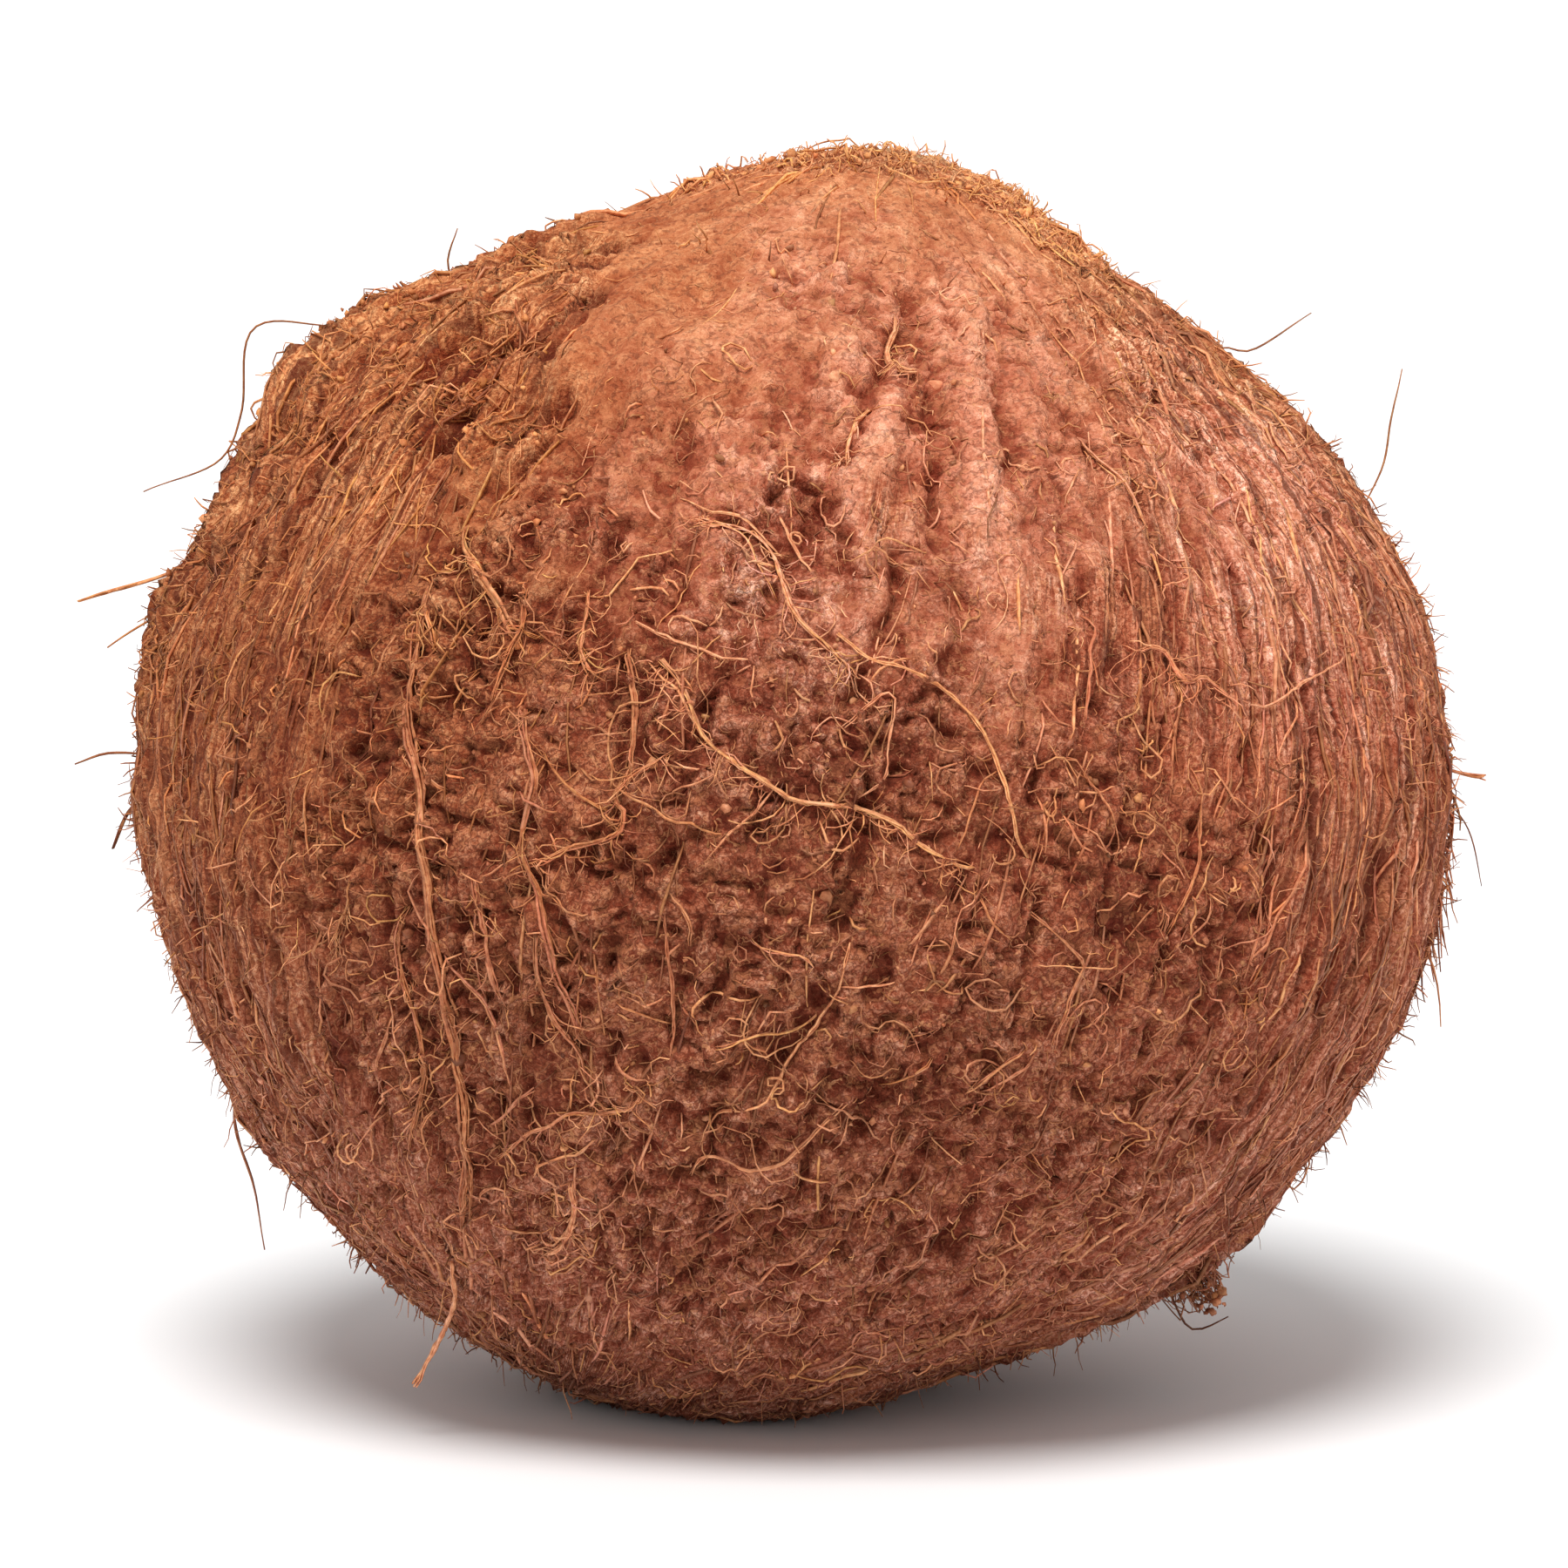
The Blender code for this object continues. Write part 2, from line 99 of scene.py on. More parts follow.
# Strands that mark this nut: (width in mm, fibres, how light, then points: longitude and angle down).
ROUTES = (
    # The longest ones on the left of the front.
    (1.5, 10, 1.9, (-34.5, 68), (-34, 75), (-34, 80), (-32.5, 84), (-31.5, 88), (-31, 92), (-31, 97),
     (-30.5, 102), (-31, 109), (-32, 115.5), (-34.5, 122), (-38, 127.5)),
    (0.5, 3, 2.1, (-34, 70), (-33, 72), (-32.5, 73.5)),
    (0.9, 6, 1.8, (-23, 78), (-22, 81), (-21, 84), (-22, 87), (-22, 90), (-20.7, 93), (-20, 97), (-20, 100),
     (-19, 103), (-18.5, 106)),
    (0.7, 5, 2.2, (-22, 90.5), (-20, 90), (-18, 89), (-16, 88.5), (-14, 87.7), (-13.6, 86), (-14.4, 85),
     (-14, 84), (-13, 83), (-11.5, 82), (-10, 81)),
    (1.2, 7, 1.7, (-32.5, 62.5), (-31.7, 64.5), (-30, 66), (-28, 68), (-26, 70), (-24.7, 72)),
    (0.6, 4, 1.8, (-24, 68), (-23.5, 71), (-24.5, 73), (-25, 75), (-25.6, 77.5)),
    (0.35, 2, 1.9, (-32, 68), (-30.5, 69.5), (-30, 71), (-28.5, 71.8), (-25, 71.4), (-22, 72)),
    (0.6, 4, 2.3, (-18.6, 67.5), (-18.3, 69.6), (-18.4, 72), (-18, 73.5), (-17, 75)),
    (0.5, 3, 1.7, (-28, 75), (-29, 76.5), (-30, 78.5)),
    (0.7, 4, 1.9, (-14.5, 72.5), (-13.8, 75), (-13.2, 78), (-13.2, 81.4), (-13.4, 83)),
    (0.4, 2, 1.7, (-36, 84.5), (-36.3, 86.6), (-37, 89)),
    (0.5, 3, 1.6, (-44, 85), (-44.2, 88.6), (-43.6, 92)),
    (0.6, 4, 1.6, (-39, 93), (-39.5, 95), (-41, 97), (-41.6, 99.5)),
    (0.35, 2, 1.7, (-32, 82.5), (-31, 84), (-29.5, 85)),
    (0.35, 2, 1.8, (-20.7, 81.5), (-18.6, 83.7), (-16.8, 85), (-14.8, 86)),
    (0.9, 6, 1.7, (-34, 95), (-35, 97.6), (-35.3, 100.4), (-34.7, 103), (-34, 107), (-34.6, 109.6),
     (-36, 112.5), (-37.5, 115), (-39.6, 118)),
    (0.4, 2, 1.8, (-30.3, 98.5), (-28.8, 100.6), (-27.4, 102), (-26.6, 104), (-26, 107), (-26, 111)),
    (0.4, 2, 1.8, (-24, 111), (-25.8, 112), (-27, 113.3), (-29.6, 115)),
    (0.5, 3, 1.7, (-42, 114.5), (-41, 113), (-39.7, 110), (-38, 107), (-36.7, 104.5)),
    (0.4, 2, 1.7, (-35, 113.5), (-36.6, 115), (-37, 116.5), (-37.5, 119)),
    (0.8, 5, 2.1, (-22, 120), (-22.4, 123), (-24.4, 126.3), (-27, 129), (-30, 130.5)),
    (0.35, 2, 1.9, (-24, 120), (-24, 122), (-24.7, 124.5)),
    (0.35, 2, 1.9, (-34, 124), (-33, 122.3), (-30.6, 121.5), (-29.7, 122.4), (-30, 124)),
    (0.35, 2, 1.9, (-31.6, 125), (-32, 126), (-31, 127), (-28.5, 127), (-26.3, 126)),
    (0.9, 5, 1.7, (-26.5, 92), (-26, 96), (-25.5, 100), (-25, 103)),
    (0.7, 4, 2.0, (-21, 96), (-21.6, 100), (-21, 104), (-19, 107), (-18.5, 110)),
    # The light strand that crosses the middle, and those round it.
    (0.75, 5, 2.7, (-11.8, 73), (-9.8, 75), (-8.8, 76.6), (-7.9, 78.7), (-7, 80.2), (-5.4, 81.4),
     (-3.5, 82.6), (-1.6, 83.8), (0, 84.8), (2.7, 85.3), (5, 85.5), (7, 86.2), (8.7, 87), (10, 88.3),
     (11.5, 89.2), (13.2, 90.2), (15, 90.6)),
    (0.3, 1, 2.3, (-12.5, 73.5), (-11, 75), (-9.5, 76), (-8.4, 78), (-7.4, 80)),
    (0.65, 4, 2.6, (-9, 60.5), (-6.8, 61.2), (-5, 61.3), (-3.5, 62), (-2, 63.4), (-1.3, 64.8), (-0.7, 67),
     (0.3, 69.5), (1.8, 71), (3.3, 72.3), (4.5, 73.5), (5.6, 74.3)),
    (0.35, 2, 2.3, (-11, 59), (-8, 60.3), (-5, 60.6), (-2.5, 62.5), (-1, 64)),
    (0.35, 2, 2.2, (-10, 62), (-7, 61.5), (-4.5, 62.3), (-3, 65), (-2, 66.7), (-1.3, 68)),
    (0.35, 2, 2.2, (-1.3, 60), (0, 62.5), (1, 64.3), (2, 65.6)),
    (0.45, 2, 2.0, (-14, 70), (-12, 71), (-10, 71.7), (-7.6, 72.4), (-5.8, 73), (-3.5, 73)),
    (0.45, 3, 2.3, (4, 71), (6, 72.8), (7.3, 73.6), (9.3, 74), (10.8, 74.8), (12.5, 75.6), (14, 77),
     (15.2, 78.4), (16.2, 80.5), (17, 82.7), (17.5, 84.6), (18, 87), (18.5, 88.5), (19.4, 90)),
    (0.3, 1, 2.0, (17, 82.7), (15.5, 83.6), (14.7, 85.4), (14, 87.3), (13.5, 89)),
    (0.4, 2, 2.3, (4, 79.3), (5.4, 78), (6.6, 77), (7.9, 76), (8.7, 76.6), (8.5, 78.3), (8, 80), (7.8, 82.4),
     (7.2, 83.6), (5.4, 84.6)),
    (0.3, 1, 2.0, (6.5, 75.4), (7.4, 74.2), (8.7, 73.6), (10.4, 73.3)),
    (0.35, 2, 2.1, (-1, 83.4), (-2.5, 85.3), (-3.4, 86.2), (-5.3, 87.8), (-7, 90)),
    (0.3, 1, 2.1, (-10, 85), (-9.4, 84), (-7.5, 83.4), (-6, 82.6)),
    (0.3, 1, 2.1, (2.2, 86.6), (3, 88.4), (4, 89), (5.5, 88)),
    (0.3, 1, 2.0, (-1.6, 78), (-1, 79), (-0.7, 80), (-1.6, 81)),
    # Lower front.
    (0.35, 2, 1.8, (-17.6, 99.5), (-18.2, 101.7), (-18.6, 103.7), (-18.3, 105)),
    (0.35, 2, 1.8, (-10, 92.3), (-9, 93.5), (-8.2, 95.2), (-8.4, 97)),
    (0.45, 2, 1.7, (-10.2, 93.5), (-10.2, 97), (-10, 100), (-10.2, 104.3), (-10.7, 107.5)),
    (0.35, 2, 1.8, (-15, 102), (-13, 103), (-11.3, 103.8), (-10.3, 104.5)),
    (0.6, 4, 2.1, (-30.6, 119), (-27.8, 117), (-25, 115), (-23, 114.3), (-20.8, 113), (-18.6, 113),
     (-16.8, 112.8), (-14, 111.5), (-13.4, 110.4), (-14.8, 110)),
    (0.3, 1, 2.1, (-20.8, 113), (-20.3, 111.4), (-20, 109.4)),
    (0.3, 1, 2.1, (-19, 112.7), (-17.5, 110.6), (-17.7, 109)),
    (0.35, 2, 2.0, (-16, 107.4), (-15, 108.7), (-13, 109.4)),
    (0.3, 1, 2.0, (-16, 113), (-15.5, 114.8), (-14.6, 115.8)),
    (0.45, 2, 2.0, (-26, 120), (-24.7, 118.4), (-22, 117.3), (-20.5, 117), (-18.7, 115.7)),
    (0.45, 2, 2.4, (4.8, 96.6), (4.2, 99), (3.7, 101), (2.8, 102.5), (1.5, 105), (0.6, 106), (-0.7, 108),
     (-1.5, 109.5), (-2.5, 111), (-4.8, 111.7), (-6.5, 112.3), (-7.5, 113.7), (-8.2, 115.6)),
    (0.35, 2, 2.3, (2.8, 102.5), (1.3, 104), (0.3, 104.6), (-1.2, 104.8), (-2.8, 104.7), (-6.6, 106)),
    (0.3, 1, 2.1, (-3, 104.6), (-2.3, 103.3), (-1.6, 102.4), (-0.2, 102.8)),
    (0.3, 1, 2.1, (3.9, 100.4), (7, 100.4), (9, 100)),
    (0.35, 2, 2.1, (-3.7, 96), (-2.5, 97), (-1, 97.4), (0.6, 97.5), (1.8, 98.3), (1.3, 99)),
    (0.4, 2, 2.3, (5, 111), (3.2, 113), (2, 114.4), (0, 116.5), (-1.3, 117.4), (-4, 118), (-6, 117),
     (-7.5, 116.5), (-8.9, 117.3), (-9.9, 119.3)),
    (0.3, 1, 2.1, (-0.2, 117.8), (1, 119), (3.8, 119.5)),
    (0.35, 2, 2.1, (8, 110), (9.7, 108.7), (10.5, 108), (12, 106.5)),
    (0.4, 2, 2.2, (20.2, 106), (18.8, 107), (17.6, 108), (16.5, 109), (15.3, 110)),
    (0.35, 2, 2.1, (21, 107.4), (19.4, 108.2), (18, 109.2), (16.8, 110.3)),
    (0.5, 3, 1.9, (19, 94), (20.5, 95), (22, 96.3), (23.8, 98), (24.7, 99.2), (23.5, 101.6), (23.4, 103),
     (22.8, 104.7), (22.8, 106.5)),
    (0.35, 2, 1.9, (15.4, 93), (16.2, 95), (18, 96.5)),
    (0.3, 1, 1.9, (10, 105), (11, 104.4), (12.5, 104)),
    # Right of the front.
    (0.75, 5, 2.4, (31, 73.5), (33, 73.2), (34.5, 74), (35, 75.3), (36, 76.4), (38, 76), (39, 77),
     (40.5, 78.3)),
    (0.35, 2, 1.9, (40, 78), (43, 79), (45.3, 78.9), (48, 78), (51.3, 77.2), (55, 76.6), (58, 75.9)),
    (0.4, 2, 1.8, (36, 64.5), (36, 66.4), (36, 68.5)),
    (0.4, 2, 1.8, (26.6, 70), (27.5, 71.4), (26.3, 73.2), (26, 75), (25.6, 77), (25, 79.5)),
    (0.35, 2, 1.8, (21.6, 80.7), (22.3, 82), (24, 82.2), (24.7, 83.6), (26, 85.3), (27.2, 87.3), (28, 89.4),
     (27.3, 91)),
    (0.45, 3, 1.8, (35.3, 83.5), (36, 85.8), (36, 88.2), (35.8, 91), (35, 92.8), (34, 94.5), (33.3, 96.6),
     (33, 98.5)),
    (0.35, 2, 1.9, (37, 94), (36.8, 96), (35.2, 97.2), (33.8, 97.7)),
    (0.3, 1, 1.8, (37.8, 84), (38.6, 85.7), (40, 87.5)),
    (0.3, 1, 1.9, (42.4, 87.7), (44, 87), (46, 86.2)),
    (0.35, 2, 1.9, (48.7, 78.3), (47.6, 80), (45.3, 81.8), (44, 83.4), (44.7, 84), (46, 84)),
    (0.35, 2, 1.8, (48.3, 67.5), (48.5, 70.5)),
    (0.4, 2, 1.7, (20.4, 85), (20.6, 87), (20.8, 89.5)),
    # Curled lips beside the seam in the upper front.
    (0.9, 5, 1.5, (16.5, 36), (15.5, 38), (13.5, 40.5), (13, 43), (15, 44.2), (17, 43.6)),
    (0.7, 4, 1.6, (9.5, 48.5), (7.5, 50.5), (6.2, 53), (6, 55)),
    (0.6, 4, 1.7, (34, 52), (35.5, 56), (36.4, 60), (37, 63.5)),
)
# Strands and wiry hairs that leave the nut: the same, with how many mm each point stands off.
LOOSE_ROUTES = (
    (0.9, 5, 2.3, (-44, 132, 0), (-46, 136, 2.0), (-50, 139, 5.0), (-54, 141, 8.5)),
    (0.4, 2, 1.6, (-46, 134, 0), (-47, 137, 2.2), (-49, 138.5, 4.0)),
    (0.26, 1, 0.8, (-89, 44, -1), (-90, 46, 1.5), (-90, 50, 5.7), (-91, 56, 3.0), (-91, 61, 2.6),
     (-90, 66, 7.0)),
    (0.7, 4, 2.0, (-91, 70, -1), (-91, 73, 2.5), (-90, 76, 7.8)),
    (0.35, 2, 1.5, (-89, 74, -1), (-89, 77, 2.2), (-89, 79, 4.2)),
    (0.3, 1, 1.0, (-91, 88, -1), (-91, 88, 3.0), (-91, 89, 6.2)),
    (0.6, 3, 0.6, (-90, 91, -1), (-90, 93, 1.5), (-90, 96, 3.6)),
    (0.4, 2, 1.2, (-88, 118, -1), (-89, 121, 1.8), (-89, 126, 3.0), (-89, 132, 7.2)),
    (0.24, 1, 0.5, (89, 43, -1), (90, 45, 1.0), (90, 47, 2.5), (90, 48, 8.4)),
    (0.24, 1, 0.5, (90, 65, -1), (90, 62, 3.4), (90, 59, 6.5), (90, 56, 10.4)),
    (0.7, 4, 1.5, (92, 89, -1), (92, 90, 2.5), (91, 90, 4.0)),
    (0.24, 1, 0.6, (89, 91, -1), (89, 94, 2.0), (90, 99, 4.5)),
    (0.3, 1, 0.35, (88, 143, -1), (88, 144, 2.5), (88, 144, 5.2), (88, 141, 5.6)),
    (0.26, 1, 0.5, (-84, 34, -1), (-84, 33.5, 2.4), (-84, 31, 4.8)),
)

# The camera looks at the nut from a little above its middle.
CAMERA_DISTANCE = 0.7
CAMERA_ELEVATION = math.radians(7)
CAMERA_AIM_SHIFT = np.array([-0.63, 0.0, -0.55]) * MM
FRAME_WIDTH = 142.5 * MM
SENSOR = 36.0

# The skin: a cube's grid blown up to a sphere, finer towards the camera, in a piece for each face.
SKIN_CELLS = 190
SKIN_FOCUS = np.array([0.0, -0.17, 0.0])
SKIN_SIDES = ("right", "back", "top", "left", "front", "bottom")

# Relief: (cell in mm, or its size across the coir and along it, height in mm, seed).
STRAND_RELIEF = (((2.6, 16.0), 0.36, 31), ((1.1, 9.0), 0.42, 32), ((0.7, 4.5), 0.30, 33))
CLUMP_RELIEF = ((4.2, 0.42, 34), (1.9, 0.42, 35), (0.95, 0.50, 36))
CRACKS = (((1.5, 5.0), 0.9, 38), ((2.6, 1.2), 0.6, 39))
GAPS = ((0.85, 8.0), 0.9, 43)
PLATES = ((4.6, 15.0), 0.5, 40)
SCALES = (((4.0, 2.0), 0.15, 44), ((1.9, 1.1), 0.13, 45), ((0.9, 0.8), 0.10, 49))
ROPES = (((3.6, 15.0), 1.5, 46), ((1.5, 8.0), 1.0, 50))
GROOVE_SHARE = 0.42
SEAM_WIDTH = 0.30
SEAM_DEPTH = 1.1
SLITS = (
    ((-25, 57), (-25.5, 61), (-25, 65)),
    ((37.5, 96), (37.3, 100), (36.5, 107)),
    ((34, 50), (36, 55), (37, 60)),
)
SLIT_WIDTH = 2.2

# Room under the fibres: in general, and along routes, each with its width and depth in mm.
HAIR_ROOM = 0.45 * MM
TUFT_ROOM = (
    (((-72, 35), (-92, 35), (-120, 37)), 6.5, 2.5),
    (((-72, 62), (-92, 62), (-115, 64)), 8.5, 1.8),
    (((70, 22), (110, 22)), 26.0, 1.0),
    (((86, 93), (94, 93)), 8.0, 0.6),
)

# Chosen strands wider than this many mm carry short hairs.
HAIRY_WIDTH = 0.58

# Fibres are mixed with a clean one's tan, tinted, and kept from getting lighter than this.
CLEAN_FIBRE = (0.75, 0.345, 0.142)
FIBRE_TINT = (1.0, 1.10, 0.93)
LIGHTEST = 0.88
# How red, green and blue follow brightness: darker colour is redder, as in the painted shade of the coir's
# gaps, which are redder than its raised bits.
DEEPENING = (0.62, 1.08, 1.30)
FIBRE_DEEPENING = (0.85, 1.0, 1.1)

# Zones of the coir: (longitude, angle down, reach), in degrees.
MATTED = (
    (-10, 105, 40), (14, 118, 30), (-30, 84, 21), (26, 96, 18), (165, 80, 34), (-140, 115, 30), (120, 60, 18),
)
FLAKY = ((22, 50, 20), (-8, 60, 17), (12, 72, 14), (-28, 62, 12), (150, 45, 18))
SMOOTH = ((0, 12, 32), (-8, 38, 24), (12, 34, 20), (-45, 25, 16), (-150, 20, 20))
PINKISH = ((20, 50, 26), (0, 62, 18), (55, 60, 22))
GOLDEN = ((-62, 40, 20), (-38, 52, 12), (130, 60, 20))
DUSKY = ((4, 102, 30), (-28, 108, 16))
SHAGGY = ((-80, 44, 24), (-50, 44, 13), (-36, 50, 9), (-96, 66, 18), (84, 139, 9), (150, 110, 26))
TUFTED = ((30, 4, 8), (84, 10, 9), (78, 18, 8), (74, 27, 6), (-60, 5, 6))
HANGING = ((88, 98, 8), (92, 92, 5))

# Heaps of loose crumbs: (longitude and angle down, reach and height in mm, crumbs).
HEAPS = (((86, 141), 1.5, 3.6, 170), ((-88, 45), 1.9, 1.6, 90), ((-76, 40), 1.5, 1.1, 50))

# The coir's colour, and what mixes into it on the left, low down and at the top, where the lighter colour is
# partly painted light.
COIR_COLOUR = (0.46, 0.127, 0.058)
LEFT_COLOUR = (0.34, 0.091, 0.030)
LOW_COLOUR = (0.46, 0.154, 0.090)
TOP_COLOUR_AND_PAINTED_LIGHT = (0.63, 0.218, 0.088)
# What mixes into it in zones: (largest share, zone, outer and inner border as shares of its reach, colour).
ZONE_COLOURS = (
    (0.6, PINKISH, 1.6, 0.1, (0.88, 0.350, 0.225)),
    (0.5, GOLDEN, 1.6, 0.1, (0.58, 0.180, 0.052)),
    (0.8, DUSKY, 1.5, 0.2, (0.33, 0.098, 0.048)),
    (0.8, TUFTED, 1.6, 0.3, (1.0, 0.390, 0.165)),
)
# Colours in the pith: paler crumbs and threads, and the painted shade in the gaps, which the dark flecks
# share.
TAN = (0.60, 0.24, 0.10, 1.0)
THREAD_COLOUR = (0.74, 0.34, 0.15, 1.0)
GAP_SHADE_AND_FLECK_COLOUR = (0.115, 0.021, 0.008, 1.0)
FLOOR_COLOUR = (0.93, 0.93, 0.93, 1.0)
WHITE = (1.0, 1.0, 1.0, 1.0)

# Grains of the pith, in mm, and how much longer than wide its threads are.
CRUMB_SIZE = 1.1
THREAD_SIZE = 0.5
THREAD_STRETCH = (1, 1, 22)

# Fibres: the sides of a tube, the spread of a tuft's roots, and the step and half turn of a chosen strand.
TUBE_SIDES = 3
TUFT_WIDTH = 0.6 * MM
ROUTE_STEP = 0.8 * MM
TWIST_LENGTH = 12 * MM

AMBIENT_LIGHT = 0.55
KEY_LIGHT = 2.85
KEY_DIRECTION = (0.10, 0.55, -1.0)
KEY_SOFTNESS = math.radians(24)


def unit(vectors):
    return vectors / np.linalg.norm(vectors, axis=-1, keepdims=True)


def bell(distance, width):
    """1 at no distance, and next to nothing from twice this width on."""
    return np.exp(-((distance / width) ** 2))


def smoothstep(low, high, values):
    share = np.clip((values - low) / (high - low), 0, 1)
    return share * share * (3 - 2 * share)


def lattice(corner, seed):
    """A repeatable value from -1 to 1 for each whole-numbered corner."""
    mixed = corner[..., 0] * 374761393 + corner[..., 1] * 668265263 + corner[..., 2] * 1440662683
    mixed = (mixed + seed * 974634777) & 0xFFFFFFFF
    mixed = ((mixed ^ (mixed >> 13)) * 1274126177) & 0xFFFFFFFF
    mixed = mixed ^ (mixed >> 16)
    return (mixed & 0xFFFF) / 32767.5 - 1.0


def noise(points, seed):
    """Smooth noise from -1 to 1, one bump to each unit of space."""
    cell = np.floor(points).astype(np.int64)
    part = points - cell
    ease = part * part * part * (part * (part * 6 - 15) + 10)
    total = np.zeros(points.shape[:-1])
    for corner in product((0, 1), repeat=3):
        weight = np.prod(np.where(np.array(corner) == 1, ease, 1 - ease), axis=-1)
        total += weight * lattice(cell + np.array(corner), seed)
    return total


# The coir's poles aren't opposite each other. This map of the sphere takes two opposite poles to them.
TUFT_WAY, BASE_WAY = unit(TUFT), unit(BASE)
AXIS = unit(TUFT_WAY - BASE_WAY)
LEAN = unit(TUFT_WAY + BASE_WAY)
SIDE = np.cross(AXIS, LEAN)
SHIFT = math.tan(0.5 * math.asin(float(TUFT_WAY @ LEAN))) * LEAN


def moved(ways, shift):
    """Unit vectors after a conformal shift of the sphere."""
    summed = ways + shift
    return (1 - shift @ shift) * summed / (summed**2).sum(-1, keepdims=True) + shift


def from_coir(around, down):
    """Unit vectors at an angle around the coir's axis and an angle down it."""
    ring = np.cos(around)[..., None] * LEAN + np.sin(around)[..., None] * SIDE
    return moved(np.cos(down)[..., None] * AXIS + np.sin(down)[..., None] * ring, SHIFT)


def to_coir(ways):
    """(angle around the coir's axis, angle down it) of unit vectors."""
    back = moved(ways, -SHIFT)
    return np.arctan2(back @ SIDE, back @ LEAN), np.arccos(np.clip(back @ AXIS, -1, 1))


def from_degrees(longitude, down):
    """The unit vector at a longitude, from the front towards +X, and an angle down from the top."""
    around, fall = np.radians(longitude), np.radians(down)
    return np.stack([np.sin(fall) * np.sin(around), -np.sin(fall) * np.cos(around), np.cos(fall)], -1)


def lumpy(ways, size, seed):
    """Noise on the nut, with bumps of this many mm."""
    return noise(ways * (MEAN_RADIUS / (size * MM)), seed)


def combed_noise(ways, cell, seed):
    """Noise along the coir, with bumps of this many mm across it and along it."""
    around, down = to_coir(ways)
    across = np.stack([np.cos(around), np.sin(around)], -1) * MEAN_RADIUS / (cell[0] * MM)
    return noise(np.concatenate([across, down[..., None] * (MEAN_RADIUS / (cell[1] * MM))], -1), seed)


def softened(radii):
    """Radii at even steps from the top to the bottom, with their corners rounded over a few steps."""
    window = np.hanning(2 * OUTLINE_SOFTENING + 3)[1:-1]
    mirrored = np.pad(radii, OUTLINE_SOFTENING, mode="reflect")
    return np.convolve(mirrored, window / window.sum(), mode="valid")


def outline_radius(ways):
    """The nut's radius without relief: the outline's two sides, blended round the nut."""
    down = np.degrees(np.arccos(np.clip(ways[..., 2], -1, 1)))
    angles, right, left = np.array(OUTLINE).T
    steps = np.arange(0, 180 + OUTLINE_STEP, OUTLINE_STEP)
    right, left = (np.interp(down, steps, softened(np.interp(steps, angles, side))) for side in (right, left))
    across = ways[..., 0] / np.maximum(np.hypot(ways[..., 0], ways[..., 1]), 1e-9)
    return (left + (right - left) * smoothstep(-1, 1, across)) * MM


def near(ways, spot, width):
    """1 at a spot in degrees, and falling off over this many mm."""
    return bell(np.linalg.norm(ways - from_degrees(*spot), axis=-1) * MEAN_RADIUS, width * MM)


def near_route(ways, route, width):
    """1 along a route of points in degrees, and falling off over this many mm."""
    stops = np.array([from_degrees(*stop) for stop in route])
    nearest = np.full(ways.shape[:-1], np.inf)
    for start, end in zip(stops[:-1], stops[1:]):
        along = end - start
        share = np.clip(((ways - start) @ along) / (along @ along), 0, 1)
        gap = np.linalg.norm(ways - (start + share[..., None] * along), axis=-1)
        nearest = np.minimum(nearest, gap)
    return bell(nearest * MEAN_RADIUS, width * MM)


def ridges(ways):
    """Height of the ridges that run along the coir and fade at its two ends."""
    around, down = to_coir(ways)
    ring = np.stack([np.cos(around), np.sin(around)], -1) * RIDGES / math.pi
    along = down * (MEAN_RADIUS / UNEVEN_RUN)
    drift = math.pi * noise(np.concatenate([ring / 6, along[..., None] / 2], -1), 8)
    uneven = noise(np.concatenate([ring, along[..., None]], -1), 3)
    worn = 0.65 + 0.35 * lumpy(ways, WORN_SIZE, 5)
    crowding = np.minimum(1, 1.6 * np.sin(down))
    heights = EVEN_HEIGHT * np.cos(RIDGES * around + drift) + UNEVEN_HEIGHT * uneven
    return heights * worn * crowding


def lumps(ways):
    """Height of the broad forms above the outline: lumps, grooves and pits."""
    height = LUMP_HEIGHT * lumpy(ways, LUMP_SIZE, 2)
    for route, width, depth in GROOVES:
        height = height - GROOVE_SHARE * depth * MM * near_route(ways, route, width)
    for spot, width, depth in PITS:
        height = height - depth * MM * near(ways, spot, width)
    return height


def surface(ways, height):
    """Points in these directions from the nut's middle, at a height above its outline."""
    return CENTRE + ways * (outline_radius(ways) + height)[..., None]


def zone(ways, spots, outer=1.3, inner=0.7):
    """How far unit vectors lie in a zone, from 0 to 1. Its ragged border lies between shares of its reach."""
    ragged = 0.30 * noise(ways * 6, 21) + 0.22 * noise(ways * 15, 22) + 0.14 * noise(ways * 33, 23)
    inside = np.zeros(ways.shape[:-1])
    for longitude, down, reach in spots:
        angle = np.degrees(np.arccos(np.clip(ways @ from_degrees(longitude, down), -1, 1)))
        inside = np.maximum(inside, smoothstep(outer, inner, angle / reach + ragged))
    return inside


def within(spots):
    return lambda ways: zone(ways, spots)


def cover(ways):
    """How far the coir is matted, flaky, smooth or combed at unit vectors, each from 0 to 1."""
    matted, flaky, smooth, tufted = (zone(ways, spots) for spots in (MATTED, FLAKY, SMOOTH, TUFTED))
    matted = np.maximum(matted, 0.45 * tufted)
    smooth = smooth * (1 - tufted)
    combed = np.maximum((1 - 0.9 * smooth) * (1 - 0.8 * flaky), 0.8 * zone(ways, SHAGGY)) * (1 - matted)
    return matted, flaky, smooth, combed


def seams(ways):
    """1 along the middle of the grooves and in the pits, and 0 away from them."""
    deepest = np.zeros(ways.shape[:-1])
    for route, width in [groove[:2] for groove in GROOVES] + [(slit, SLIT_WIDTH) for slit in SLITS]:
        deepest = np.maximum(deepest, near_route(ways, route, SEAM_WIDTH * width))
    for spot, width, depth in PITS:
        deepest = np.maximum(deepest, (depth > 0) * near(ways, spot, 0.35 * width))
    return deepest * smoothstep(-0.75, 0.1, lumpy(ways, 3.2, 55))


def folds(values, size, level=0.4):
    """Rounded swells of this size, with sharp creases where the noise changes sign."""
    return size * (np.abs(values) * 1.6 - level)


